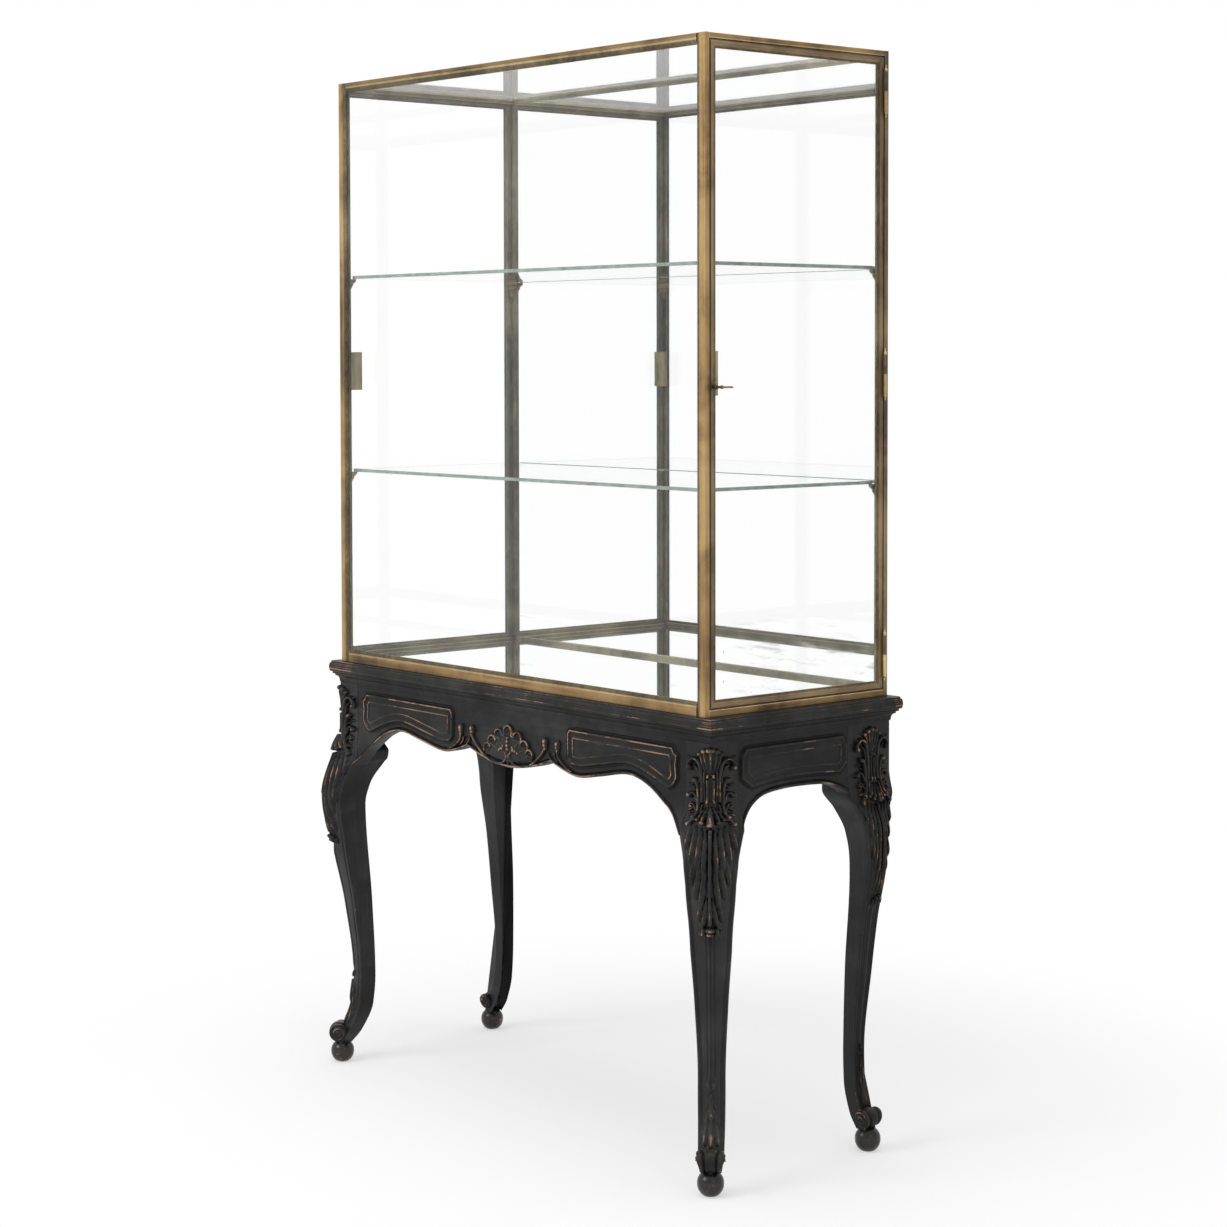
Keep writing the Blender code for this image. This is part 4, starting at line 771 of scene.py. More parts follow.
# %% Smooth lines
def flow(knots, at):
    """A smooth line through (position, value) knots, with no overshoot, at an array of positions."""
    knots = sorted(knots)
    x = np.array([k[0] for k in knots])
    y = np.array([k[1] for k in knots])
    slopes = np.diff(y) / np.diff(x)
    before, after = slopes[:-1], slopes[1:]
    level = before * after <= 0
    inner = np.where(level, 0, 2 * before * after / np.where(level, 1, before + after))
    ends = np.concatenate([slopes[:1], inner, slopes[-1:]])
    at = np.clip(at, x[0], x[-1])
    i = np.clip(np.searchsorted(x, at) - 1, 0, len(x) - 2)
    run = x[i + 1] - x[i]
    t = (at - x[i]) / run
    keep = 2 * t**3 - 3 * t**2 + 1
    leave, arrive = t**3 - 2 * t**2 + t, t**3 - t**2
    return keep * y[i] + leave * run * ends[i] + (1 - keep) * y[i + 1] + arrive * run * ends[i + 1]


def drawn(points, steps=6):
    """Points along a smooth pen line through a few given ones."""
    p = np.array(points, float)
    p = np.vstack([2 * p[0] - p[1], p, 2 * p[-1] - p[-2]])
    line = []
    for a, b, c, d in zip(p, p[1:], p[2:], p[3:]):
        for t in np.arange(steps) / steps:
            bend = (2 * a - 5 * b + 4 * c - d) * t**2 + (3 * b - a - 3 * c + d) * t**3
            line.append(0.5 * (2 * b + (c - a) * t + bend))
    return np.array([*line, p[-2]])


print("lines ready")

# %% [markdown]
# A carver builds an ornament from a few cuts: a bead run along a curve, a round boss, and a leaf lobe that
# swells towards its tip with a rib down its middle. Each gives a height in millimetres over a flat plan,
# and the ornament is the highest of them at each place. Plans are drawn for one side and mirrored.

# %% Carver's cuts
TINY = 1e-12


def to_segment(x, y, a, b):
    """The share of the way from a to b at which a segment is nearest, and the distance there."""
    run = b - a
    t = np.clip(((x - a[0]) * run[0] + (y - a[1]) * run[1]) / max(run @ run, TINY), 0, 1)
    return t, np.hypot(x - a[0] - t * run[0], y - a[1] - t * run[1])


def bead(x, y, line, thick, high):
    """A rounded bead along a line; its half width goes from thick[0] to thick[1]."""
    field = np.zeros_like(x)
    reach = max(thick)
    near = (x > line[:, 0].min() - reach) & (x < line[:, 0].max() + reach)
    near &= (y > line[:, 1].min() - reach) & (y < line[:, 1].max() + reach)
    px, py = x[near], y[near]
    best = np.zeros_like(px)
    count = len(line) - 1
    for i, (a, b) in enumerate(zip(line, line[1:])):
        t, apart = to_segment(px, py, a, b)
        width = thick[0] + (thick[1] - thick[0]) * (i + t) / count
        best = np.maximum(best, high * np.sqrt(np.clip(1 - (apart / width) ** 2, 0, 1)))
    field[near] = best
    return field


def boss(x, y, at, radius, high):
    """A round button."""
    return high * np.sqrt(np.clip(1 - ((x - at[0]) ** 2 + (y - at[1]) ** 2) / radius**2, 0, 1))


# A leaf's outline: the depth and number of its notches, its fullness, and its powers at base and tip.
NOTCH_DEPTH, NOTCHES, FULLNESS, BASE_POWER, TIP_POWER = 0.10, 3.5, 1.75, 0.55, 0.42
# How round its section is, how high it stands at the base, and where it is highest.
ROUND_SHARE, BASE_RISE, HIGHEST_AT = 0.35, 0.62, 0.8


def lobe(x, y, base, tip, width, high):
    """A leaf lobe from base to tip: notched edges, a sharp rib along its back, and highest at the tip."""
    along = np.array(tip, float) - np.array(base, float)
    length = np.hypot(*along)
    along /= length
    share = ((x - base[0]) * along[0] + (y - base[1]) * along[1]) / length
    side = (x - base[0]) * -along[1] + (y - base[1]) * along[0]
    s = np.clip(share, 0, 1)
    notched = 1 + NOTCH_DEPTH * np.cos(2 * np.pi * NOTCHES * s)
    half = width * FULLNESS * s**BASE_POWER * (1 - s) ** TIP_POWER * notched + 1e-6
    q = np.clip(np.abs(side) / half, 0, 1)
    section = ROUND_SHARE * np.sqrt(1 - q**2) + (1 - ROUND_SHARE) * (1 - q)
    swing = np.sin(np.pi * np.minimum(s, HIGHEST_AT) / (2 * HIGHEST_AT))
    rise = (BASE_RISE + (1 - BASE_RISE) * swing) * np.sqrt(1 - s**8)
    return np.where((share > 0) & (share < 1), high * rise * section, 0)


def higher(*carvings):
    """Of several (height, crown) carvings, the one that stands highest at each place."""
    field, crown = carvings[0]
    for more, worn in carvings[1:]:
        crown = np.where(more > field, worn, crown)
        field = np.maximum(field, more)
    return field, crown


def carved(x, y, beads, bosses, lobes, wear):
    """All cuts of a plan; wear is how rubbed the crowns of its beads, bosses and lobes are."""
    cuts = [(np.zeros_like(x), np.zeros_like(x))]
    for points, thick, high in beads:
        height = bead(x, y, drawn(points), thick, high)
        cuts.append((height, wear[0] * (height / high) ** 3))
    for at, radius, high in bosses:
        height = boss(x, y, at, radius, high)
        cuts.append((height, wear[1] * (height / high) ** 2))
    for cut in lobes:
        height = lobe(x, y, *cut)
        cuts.append((height, wear[2] * (height / cut[3]) ** 3))
    return higher(*cuts)


print("cuts ready")

# %% [markdown]
# The knee's plan is in millimetres out from the middle line and down from the top of the leg. A flared
# plume stands at the top between two pairs of scrolls with ball ends, curled leaf tips close the cartouche,
# and below it hangs an acanthus leaf in three tiers with a rib down its middle, ending in a flower knob.
# The ankle has a small husk. Tips, ribs and the ankle are lists of their own, because they are rubbed more
# or less than the rest.

# %% The plan of the knee
KNEE_BEADS = [
    ([(0, 26), (0, 118)], (15, 20), 2.6),
    (
        [(11, 94), (10.5, 68), (12, 49), (16, 33), (23.5, 27), (30.5, 30), (34.5, 37), (33, 42)],
        (2.9, 2.7), 8.2,
    ),
    ([(15, 64), (16, 51), (19.5, 42), (25, 37.5)], (1.7, 1.5), 6.2),
    (
        [(27, 60), (22, 61), (18.2, 68), (16.6, 80), (16.4, 94), (17.4, 108), (20.6, 116), (25, 120)],
        (2.6, 2.9), 8.2,
    ),
    ([(18.5, 98), (21, 88), (26.5, 83), (31.5, 85)], (1.9, 2.4), 6.8),
    ([(21, 110), (25.5, 102), (30, 100.5), (32.5, 105)], (1.7, 2.0), 6.0),
    ([(21, 125), (27, 125), (33.5, 131)], (2.2, 2.7), 6.6),
    ([(3.2, 60), (3.0, 92)], (2.2, 2.0), 7.0),
    ([(7.6, 46), (7.4, 68), (6.8, 94)], (1.6, 1.6), 6.2),
    ([(10.5, 100), (12.8, 110), (12, 119)], (1.8, 2.0), 6.8),
    ([(0, 121), (0, 130)], (3.2, 3.8), 15.4),
    ([(8, 299), (8.6, 307)], (3.8, 3.4), 8.6), ([(14.5, 303), (14.6, 308)], (2.8, 2.6), 5.2),
]
KNEE_BOSSES = [
    ((33.5, 42.5), 4.8, 9.6), ((23.5, 62.5), 4.2, 9.2), ((33, 87), 4.6, 9.4), ((25.5, 121), 4.4, 9.4),
    ((35, 133), 4.4, 8.4), ((0, 11.5), 5.6, 8.2), ((8.6, 13.5), 5.0, 7.8), ((16, 18.5), 4.4, 7.0),
    ((9, 127), 4.4, 12.6), ((17, 123), 4.0, 10.0), ((29.5, 105), 2.6, 6.8), ((0, 299), 5.4, 11.4),
    ((0, 306), 4.6, 9.0),
]
KNEE_TIPS = [
    ([(2.4, 51), (2.5, 54.5)], (2.3, 2.1), 8.0), ([(3.1, 92), (3.3, 96)], (2.3, 2.1), 8.2),
]
KNEE_RIBS = [([(0, 138), (0, 215)], (2.2, 1.6), 9.2), ([(0, 210), (0, 290)], (1.7, 1.3), 8.0)]
KNEE_LOBES = [
    ((0, 52), (0, 9), 4.0, 6.8), ((3, 52), (8.4, 11), 3.6, 6.8), ((6, 52), (15.5, 16), 3.6, 6.4),
    ((29, 29), (39, 24), 2.6, 4.8), ((26, 70), (37, 70), 3.0, 5.2), ((22, 103), (36, 113), 3.2, 5.4),
    ((19, 79), (27, 74), 2.6, 5.4), ((24, 116), (38, 120), 3.0, 5.4),
    ((0, 101), (0, 133), 4.8, 16.2), ((2, 102), (9.6, 131), 4.4, 14.2), ((4, 103), (18, 127), 4.2, 11.8),
    ((31, 134), (40, 174), 5.6, 7.6), ((22, 134), (31, 196), 6.4, 8.8), ((13, 136), (20.5, 206), 6.6, 9.6),
    ((5, 138), (9, 212), 5.8, 9.6),
    ((23, 180), (31, 230), 5.4, 7.2), ((14, 186), (23.5, 252), 6.0, 8.2), ((6, 190), (13.5, 268), 6.0, 9.0),
    ((10, 242), (19, 289), 5.0, 7.0), ((3, 244), (9.5, 296), 5.2, 8.0), ((0, 240), (0, 297), 4.4, 8.8),
]
ANKLE_LOBES = [
    ((0, 572), (5.5, 557), 2.8, 4.4), ((0, 576), (0, 622), 4.8, 6.4), ((2, 580), (6.5, 604), 2.8, 3.6),
    ((3, 600), (8.5, 626), 3.0, 3.2), ((0, 618), (0, 662), 7.0, 5.4), ((5, 620), (11, 660), 5.4, 4.6),
]
# How rubbed the crowns of beads, bosses and lobes are.
KNEE_WEAR, TIP_WEAR = (0.47, 0.57, 0.70), (0.64, 0, 0)
RIB_WEAR, ANKLE_WEAR = (0.38, 0, 0), (0, 0, 0.74)
# Where the rib of the shin and the beads along the edges start and end, and the length over which they rise
# and sink.
REED_TOP, REED_LOW, REED_RUN = 312.0, 556.0, 12
EDGE_TOP, EDGE_LOW, EDGE_RISE, EDGE_SINK = 118.0, 650.0, 16, 20


def knee_relief(x, y):
    """Height and wear of a leg's ornament; x is the distance from its middle line."""
    knee = carved(x, y, KNEE_BEADS, KNEE_BOSSES, KNEE_LOBES, KNEE_WEAR)
    tips = carved(x, y, KNEE_TIPS, [], [], TIP_WEAR)
    ribs = carved(x, y, KNEE_RIBS, [], [], RIB_WEAR)
    return higher(knee, tips, ribs, carved(x, y, [], [], ANKLE_LOBES, ANKLE_WEAR))


def ridge(apart, wide):
    """A soft ridge of height 1."""
    return np.exp(-((apart / wide) ** 2))


def reeds(x, y, half):
    """The fine rib down the middle of the shin, and the bead along each edge of the leg."""
    run = np.clip((y - REED_TOP) / REED_RUN, 0, 1) * np.clip((REED_LOW - y) / REED_RUN, 0, 1)
    edge = np.clip((y - EDGE_TOP) / EDGE_RISE, 0, 1) * np.clip((EDGE_LOW - y) / EDGE_SINK, 0, 1)
    inwards = half - x
    rib = 1.2 * ridge(x, 2.6) - 1.1 * ridge(x - 5.6, 1.2)
    return run * rib + edge * (1.2 * ridge(inwards - 2.6, 2.0) - 1.5 * ridge(inwards - 6.8, 1.5))


KNEE_CUTS = (KNEE_BEADS, KNEE_BOSSES, KNEE_TIPS, KNEE_RIBS, KNEE_LOBES, ANKLE_LOBES)
print("knee plan", sum(len(cuts) for cuts in KNEE_CUTS), "cuts a side")

# %% [markdown]
# A leg is one skin: a grid wrapped round its section, with most of its columns on the carved faces and most
# of its rows at the knee. The section's outer and inner lines follow the cabriole curve of the solid. Front
# legs stand at 45 degrees, so their carving wraps a corner; back legs face sideways and are carved on a
# flat face.

# %% Leg curves
FRONT_BLOCK = 59.2 * MM
EAR_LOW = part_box("front_apron")[0].z
BACK_EAR_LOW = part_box("back_apron")[0].z
BACK_HALF_W = 52.5 * MM
LEG_FOOT = 37 * MM
SCROLL_Z = 57 * MM


def curve(*knots):
    """Knots given as a share of the leg's height and a distance in millimetres."""
    return [(share * LEG_TOP, value * MM) for share, value in knots]


FOOT_SHARE = LEG_FOOT / LEG_TOP
EAR_SHARE = EAR_LOW / LEG_TOP
BACK_EAR_SHARE = BACK_EAR_LOW / LEG_TOP
TOE_SHARE = (SCROLL_Z + 5 * MM) / LEG_TOP
BLOCK_DIAGONAL = -FRONT_BLOCK / MM * math.sqrt(2)
FRONT_OUTER = curve(
    (1, 0), (0.890, 0), (0.700, 35), (0.544, 12.5), (0.421, -7), (0.238, -22.8), (0.156, -19),
    (FOOT_SHARE, 14),
)
FRONT_INNER = curve(
    (1, BLOCK_DIAGONAL), (0.846, BLOCK_DIAGONAL), (0.820, -93), (EAR_SHARE, -91), (0.790, -84), (0.734, -57),
    (0.680, -47.5), (0.421, -59.7), (0.231, -65), (0.156, -60.5), (TOE_SHARE, -38), (FOOT_SHARE, -18),
)
FRONT_CHAMFER = curve((1, 0.6), (0.612, 0.6), (0.530, 3.4), (FOOT_SHARE, 3.6))
BACK_OUTER = curve(
    (1, 0), (0.890, 0), (0.815, 12), (0.750, 19), (0.690, 18.5), (0.544, 0.5), (0.421, -11), (0.238, -24),
    (0.156, -20.5), (FOOT_SHARE, 8),
)
BACK_INNER = curve(
    (1, -59.2), (BACK_EAR_SHARE, -59.2), (0.800, -47), (0.748, -34.5), (0.680, -29), (0.421, -43),
    (0.231, -48.5), (0.156, -46), (TOE_SHARE, -31), (FOOT_SHARE, -14),
)
BACK_HALF = curve(
    (1, 52.5), (BACK_EAR_SHARE, 52.5), (0.800, 37.5), (0.748, 26.5), (0.680, 22.5), (0.544, 18.8),
    (0.408, 17), (0.245, 14), (FOOT_SHARE, 13.5),
)
# How far a back leg's section stands behind its top block.
BACK_LEAN = curve((1, 0), (BACK_EAR_SHARE, 0), (0.700, 6), (0.421, 4.5), (0.238, 3), (FOOT_SHARE, 0))
# How wide the carving of a back leg is against its plan: full at the cartouche, narrower on the leaf.
BACK_CARVING = [(112, 1.06), (132, 0.93), (160, 0.72), (200, 0.60)]
# How high the carving of a back leg stands against its plan, and the keel under its leaf.
BACK_RELIEF = [(134, 1.0), (150, 0.62), (292, 0.62), (300, 1.0)]
BACK_KEEL = [(134, 0.0), (165, 4.5), (280, 4.0), (330, 0.0)]
BACK_SHIFT = 4 * MM
# Rows of the skin, as a share of the rows and a height: dense at the knee and the ankle.
LEG_ROWS = 520
ROW_PLACES = [(0.0, LEG_TOP), (0.70, 0.428), (0.80, 0.186), (0.95, 0.070), (1.0, LEG_FOOT)]
SIDE_COLUMNS, CARVED_COLUMNS = 8, 132


def steps_at(steps, at):
    """Straight lines between (position, value) steps."""
    return np.interp(at, [step[0] for step in steps], [step[1] for step in steps])


# How rubbed a leg's arrises are, over what width, and how far below the top that starts.
ARRIS_WEAR, ARRIS_WIDTH, ARRIS_FROM = 0.46, 1.3 * MM, 60 * MM


def shin_wear(t, half, z):
    """Rubbing along a leg's arrises."""
    return ARRIS_WEAR * ridge(half - np.abs(t), ARRIS_WIDTH) * (z < LEG_TOP - ARRIS_FROM)


print("leg rows", LEG_ROWS, "columns", CARVED_COLUMNS + 2 * SIDE_COLUMNS)

# %% [markdown]
# Each point of the skin is found in the leg's own directions: out from the corner, across it, and up. The
# carving lifts a point square to the face it lies on, while the plain inner sides only follow the section.
# Hollows between the cuts take painted shade, by how far they lie below their surroundings.

# %% The four legs
# How strongly a hollow takes painted shade, and the passes that find the hollows.
HOLLOW_SHADE, LEG_PASSES = 0.42, 14
# The corner of a front leg is rounded along its carving, between these drops in millimetres.
CORNER_SOFT, SOFT_FROM, SOFT_TO, SOFT_RUN = 5.0 * MM, 2, 330, 30
BACK_ARRIS, KEEL_WIDTH = 2.5 * MM, 9 * MM


def leg(name, side, is_front):
    """A carved leg, and the place and directions of its foot."""
    foot = Vector((side * FRIEZE_X, MIDDLE_Y + (-FRIEZE_Y if is_front else FRIEZE_Y - BACK_HALF_W), 0))
    out = Vector((side, -1, 0)).normalized() if is_front else Vector((side, 0, 0))
    across = Vector((1, side, 0)).normalized() if is_front else Vector((0, 1, 0))
    columns = CARVED_COLUMNS + 2 * SIDE_COLUMNS
    first, last = SIDE_COLUMNS / columns, 1 - SIDE_COLUMNS / columns

    def place(u, v):
        z = steps_at(ROW_PLACES, v)
        drop = (LEG_TOP - z) / MM
        share = np.clip((u - first) / (last - first), 0, 1) * 2 - 1
        back = np.where(u < first, u / first, np.where(u > last, (1 - u) / (1 - last), 1.0))
        if is_front:
            outer, inner, nick = flow(FRONT_OUTER, z), flow(FRONT_INNER, z), flow(FRONT_CHAMFER, z)
            half = (outer + nick - inner) / 2
            t = share * half
            ease = np.clip((drop - SOFT_FROM) / SOFT_RUN, 0, 1) * np.clip((SOFT_TO - drop) / SOFT_RUN, 0, 1)
            soft = nick + CORNER_SOFT * ease
            slope = t / np.sqrt(t**2 + soft**2)
            s = outer + nick - np.sqrt(t**2 + soft**2)
            plan_x = np.abs(t) / MM
            lean = 0.0
        else:
            outer, inner, half = flow(BACK_OUTER, z), flow(BACK_INNER, z), flow(BACK_HALF, z)
            t = share * half
            slope = np.zeros_like(t)
            s = outer - BACK_ARRIS * np.clip((np.abs(t) - half + BACK_ARRIS) / BACK_ARRIS, 0, 1) ** 2
            plan_x = np.abs(t - BACK_SHIFT) / MM / steps_at(BACK_CARVING, drop)
            lean = flow(BACK_LEAN, z)
        height, crown = knee_relief(plan_x, drop)
        if not is_front:
            height = height * steps_at(BACK_RELIEF, drop)
            height = height + steps_at(BACK_KEEL, drop) * ridge(t - BACK_SHIFT, KEEL_WIDTH)
        height = height + reeds(np.abs(t) / MM, drop, half / MM)
        # The stored value: wear on crowns and arrises, and below zero painted shade in hollows.
        rub_and_shade = crown + np.minimum(HOLLOW_SHADE * standing_proud(height, LEG_PASSES), 0) + shin_wear(t, half, z)
        lift = height * MM / np.sqrt(1 + slope**2)
        s, t = s + lift, t + lift * slope
        on_side = back < 1
        if is_front:
            s = np.where(on_side, inner + half * back, s)
            t = np.where(on_side, np.sign(share) * half * back, t)
        else:
            s = np.where(on_side, inner + (outer - BACK_ARRIS - inner) * back, s)
            t = np.where(on_side, np.sign(share) * half, t)
        rub_and_shade = np.where(on_side, 0.0, rub_and_shade)
        t = t + lean
        points = np.stack([s * out.x + t * across.x + foot.x, s * out.y + t * across.y + foot.y, z], axis=-1)
        return points, rub_and_shade

    bm = closed_skin(bent_grid(columns, LEG_ROWS, place))
    return piece(name + "_carved", bm, [EBONY_UP], CASE, [name], crisp=55), foot, out, across


LEGS = [
    ("front_left_leg", -1, True), ("front_right_leg", 1, True),
    ("back_left_leg", -1, False), ("back_right_leg", 1, False),
]
LEG_PLACES = {}
for name, side, is_front in LEGS:
    made, foot, out, across = leg(name, side, is_front)
    LEG_PLACES[name] = (foot, out, across, is_front)
    print(made.name, len(made.data.polygons), "faces")

# %% [markdown]
# Each leg ends in a scroll over a ball. The scroll is a wrapped grid as well: it starts at the eye of one
# side, spirals out to the rim, crosses the drum with its lobed tongue, and returns to the other eye. The
# ball is a profile spun round its axis.

# %% Toe scrolls and ball feet
# The share of a scroll's rows on each of its end caps, and the size of the eye on a cap.
CAP_SHARE, EYE_SHARE = 0.34, 0.26
# Across the drum: the half width of its tongue, and the place and width of the groove beside it.
TONGUE_SHARE, GROOVE_AT, GROOVE_WIDE = 0.45, 0.52, 0.08
# Heights in millimetres: the tongue, the groove, the rolled edge, the dome of a cap and the eye on it.
TONGUE_HIGH, GROOVE_DEEP, ROLL_DEEP, CAP_DOME, EYE_HIGH = 2.2, 2.6, 1.6, 3.2, 0.5
ROLL_AT, ROLL_WIDE = 0.84, 0.10
COIL_TURNS = 2.0
# How rubbed the drum, the eye and the coils are, the coils more on their upper side and in painted shade in
# their troughs, and the groove's painted shade.
DRUM_WEAR, EYE_WEAR, COIL_WEAR, COIL_MORE, GROOVE_SHADE = 0.50, 0.45, 0.26, 0.36, 0.9
TOE_GRID = (72, 150)
# Radius, length and reach of a toe scroll in millimetres.
FRONT_TOE, BACK_TOE = (17.8, 44, 5.5), (15.5, 43, 2)


def toe_scroll(name, foot, out, across, radius, length, reach_out):
    """A scroll across the toe of a leg, that stands out from its foot by reach_out."""
    middle = foot + out * reach_out + Vector((0, 0, SCROLL_Z))

    def place(u, v):
        turn = 2 * np.pi * u
        reach = np.minimum(np.minimum(v, 1 - v) / CAP_SHARE, 1.0)
        on_cap = reach < 1
        side = np.where(v < 0.5, -1.0, 1.0)
        half = length / 2 * (0.86 + 0.14 * np.sin(turn))
        coil = np.cos(2 * np.pi * (COIL_TURNS * reach - side * u)) * np.clip((reach - 0.2) * 6, 0, 1)
        eye = np.sqrt(np.clip(1 - (reach / EYE_SHARE) ** 2, 0, 1))
        domed = CAP_DOME * np.sqrt(1 - reach**2)
        sunk = domed + (coil - 1 + EYE_HIGH * eye) * np.clip((1 - reach) / 0.12, 0, 1)
        near = np.clip(np.abs(v - 0.5) / (0.5 - CAP_SHARE), 0, 1)
        w = side * np.where(on_cap, half + sunk * MM, near * half)
        front = np.clip(0.25 + np.cos(turn - 0.75), 0, 1)
        tongue = np.sqrt(np.clip(1 - (near / TONGUE_SHARE) ** 2, 0, 1))
        groove = ridge(near - GROOVE_AT, GROOVE_WIDE)
        roll = np.clip((near - 0.80) / 0.20, 0, 1) ** 2
        on_drum = TONGUE_HIGH * tongue * front - GROOVE_DEEP * groove - ROLL_DEEP * roll
        size = (radius + np.where(on_cap, -ROLL_DEEP, on_drum) * MM) * reach
        s, z = size * np.cos(turn), size * np.sin(turn)
        points = np.stack(
            [middle.x + s * out.x + w * across.x, middle.y + s * out.y + w * across.y, middle.z + z], axis=-1
        )
        rim = ridge(near - ROLL_AT, ROLL_WIDE)
        high = np.clip(np.sin(turn), 0, 1)
        drum_wear_and_shade = DRUM_WEAR * rim + DRUM_WEAR * tongue * front * high - GROOVE_SHADE * groove
        cap_wear_and_shade = coil * (COIL_WEAR + COIL_MORE * np.clip(np.sin(turn + 0.5), 0, 1)) + EYE_WEAR * eye
        return points, np.where(on_cap, cap_wear_and_shade, drum_wear_and_shade)

    bm = closed_skin(bent_grid(*TOE_GRID, place))
    return piece(name + "_toe_scroll", bm, [EBONY_UP], crisp=60)


# The ball from its neck to the floor, as radius and height in millimetres.
BALL_PROFILE = [(0, 41), (9, 41), (11.8, 39.6), (14.6, 37.4), (17.8, 34), (20.4, 30), (21.9, 25), (22.2, 20)]
BALL_PROFILE += [(21.7, 15), (19.8, 9.6), (16.6, 4.8), (12.6, 1.4), (9, 0), (0, 0)]
# The lower ball is rubbed; its neck and underside take painted shade.
BALL_STEPS, BALL_WEAR, NECK_SHADE = 44, 0.42, -0.2


def ball_foot(name, foot):
    """The turned ball under a leg."""
    bm = bmesh.new()
    stored = bm.verts.layers.float.new("rub_and_shade")
    turned = [bm.verts.new((foot.x + r * MM, foot.y, z * MM)) for r, z in BALL_PROFILE]
    for vert, (r, z) in zip(turned, BALL_PROFILE):
        vert[stored] = BALL_WEAR if z < 26 and r > 12 else NECK_SHADE
    line = [bm.edges.new(pair) for pair in zip(turned, turned[1:])]
    bmesh.ops.spin(
        bm, geom=turned + line, cent=foot, axis=(0, 0, 1), angle=2 * math.pi, steps=BALL_STEPS,
        use_merge=True, use_duplicate=False,
    )
    bmesh.ops.remove_doubles(bm, verts=bm.verts, dist=SKIN_WELD)
    return piece(name + "_ball", bm, [EBONY_BALL], crisp=50)


for name, (foot, out, across, is_front) in LEG_PLACES.items():
    size = FRONT_TOE if is_front else BACK_TOE
    toe_scroll(name, foot, out, across, *(length * MM for length in size))
    ball_foot(name, foot)
print("toes and balls made")

# %% [markdown]
# The table top is one moulding run round a slab: an eased upper edge, a round nosing, two small fillets and
# a cove. A grid carries the profile round the four sides, with its columns close together at the corners,
# where the edge is rubbed most, and its open ends are filled.

# %% Table top
TOP_X, TOP_Y = top_high.x, (top_high.y - top_low.y) / 2
# Each step of the profile: inwards from the nosing, down from the top, and how rubbed it is, where a value
# below zero is painted shade.
TOP_PROFILE = [
    (14, 0, 0), (5.2, 0, 0.1), (4.0, 0.3, 0.40), (3.4, 1.2, 0.49), (3.2, 3.4, -0.2),
    (2.0, 4.0, 0.1), (1.2, 4.8, 0.49),
]
# The nosing swells out from its ends; its wear is given by the number of its step.
NOSING_WEAR, PLAIN_WEAR = {2: 0.44, 5: 0.43, 8: 0.47, 9: 0.47}, 0.10
NOSING_OUT, NOSING_FROM, NOSING_HIGH, NOSING_HALF = 1.2, 4.8, 15.2, 6
for i in range(1, 2 * NOSING_HALF + 1):
    inwards = NOSING_OUT * (abs(i - NOSING_HALF) / NOSING_HALF) ** 2.4
    down = NOSING_FROM + NOSING_HIGH * i / (2 * NOSING_HALF)
    TOP_PROFILE.append((inwards, down, NOSING_WEAR.get(i, PLAIN_WEAR)))
TOP_PROFILE += [
    (2.2, 20.8, 0.49), (4.4, 21.6, 0), (5.0, 22.2, -0.8), (5.0, 24.6, 0), (5.6, 25.4, 0.46), (8.2, 26, 0),
    (8.6, 26.6, -0.8), (8.6, 28.6, 0), (9.2, 29, 0.40),
]
# The cove is a quarter of an ellipse in ten steps.
COVE_IN, COVE_DOWN, COVE_WIDE, COVE_HIGH, COVE_SHADE = 9.4, 29.2, 5.4, 10.2, -0.2
for turn in [math.radians(9 * i) for i in range(1, 11)]:
    inwards, down = COVE_IN + COVE_WIDE * math.sin(turn), COVE_DOWN + COVE_HIGH * (1 - math.cos(turn))
    TOP_PROFILE.append((inwards, down, COVE_SHADE))
TOP_PROFILE += [(15.0, 40.2, 0.3), (15.2, 41, 0)]
TOP_COLUMNS = 24
CORNERS = np.array([(-1, -1), (1, -1), (1, 1), (-1, 1), (-1, -1)])
# Near a corner, what is already rubbed is rubbed more.
CORNER_WEAR, CORNER_REACH, RUBBED_FROM = 0.12, 22 * MM, 0.3


def top_moulding(u, v):
    """Carries the profile round: u goes round the four sides, v down the profile."""
    side = np.minimum(np.floor(u * 4 + 1e-6), 3).astype(int)
    share = 0.5 - 0.5 * np.cos(np.pi * np.clip(u * 4 - side, 0, 1))
    step = np.round(v * (len(TOP_PROFILE) - 1)).astype(int)
    inwards, down, rub_and_shade = np.moveaxis(np.array(TOP_PROFILE)[step], -1, 0)
    along = CORNERS[side] + (CORNERS[side + 1] - CORNERS[side]) * share[..., None]
    x, y = along[..., 0] * (TOP_X - inwards * MM), along[..., 1] * (TOP_Y - inwards * MM)
    to_corner = np.hypot(TOP_X - np.abs(x), TOP_Y - np.abs(y))
    rub_and_shade = rub_and_shade + CORNER_WEAR * np.exp(-to_corner / CORNER_REACH) * (rub_and_shade > RUBBED_FROM)
    return np.stack([x, MIDDLE_Y + y, TABLE_H - down * MM], axis=-1), rub_and_shade


slab = closed_skin(bent_grid(4 * TOP_COLUMNS, len(TOP_PROFILE) - 1, top_moulding))
piece("table_top_moulded", slab, [EBONY_LONG], CASE, ["table_top"], crisp=30)
print("table top", len(TOP_PROFILE), "steps")

# %% [markdown]
# The aprons are boards with a shaped lower edge, a bead along it, and raised panels whose border is a thin
# moulding. Both are runs of steps across a line: a panel's border is read from the distance to its outline,
# and the bead from the height above the board's edge.

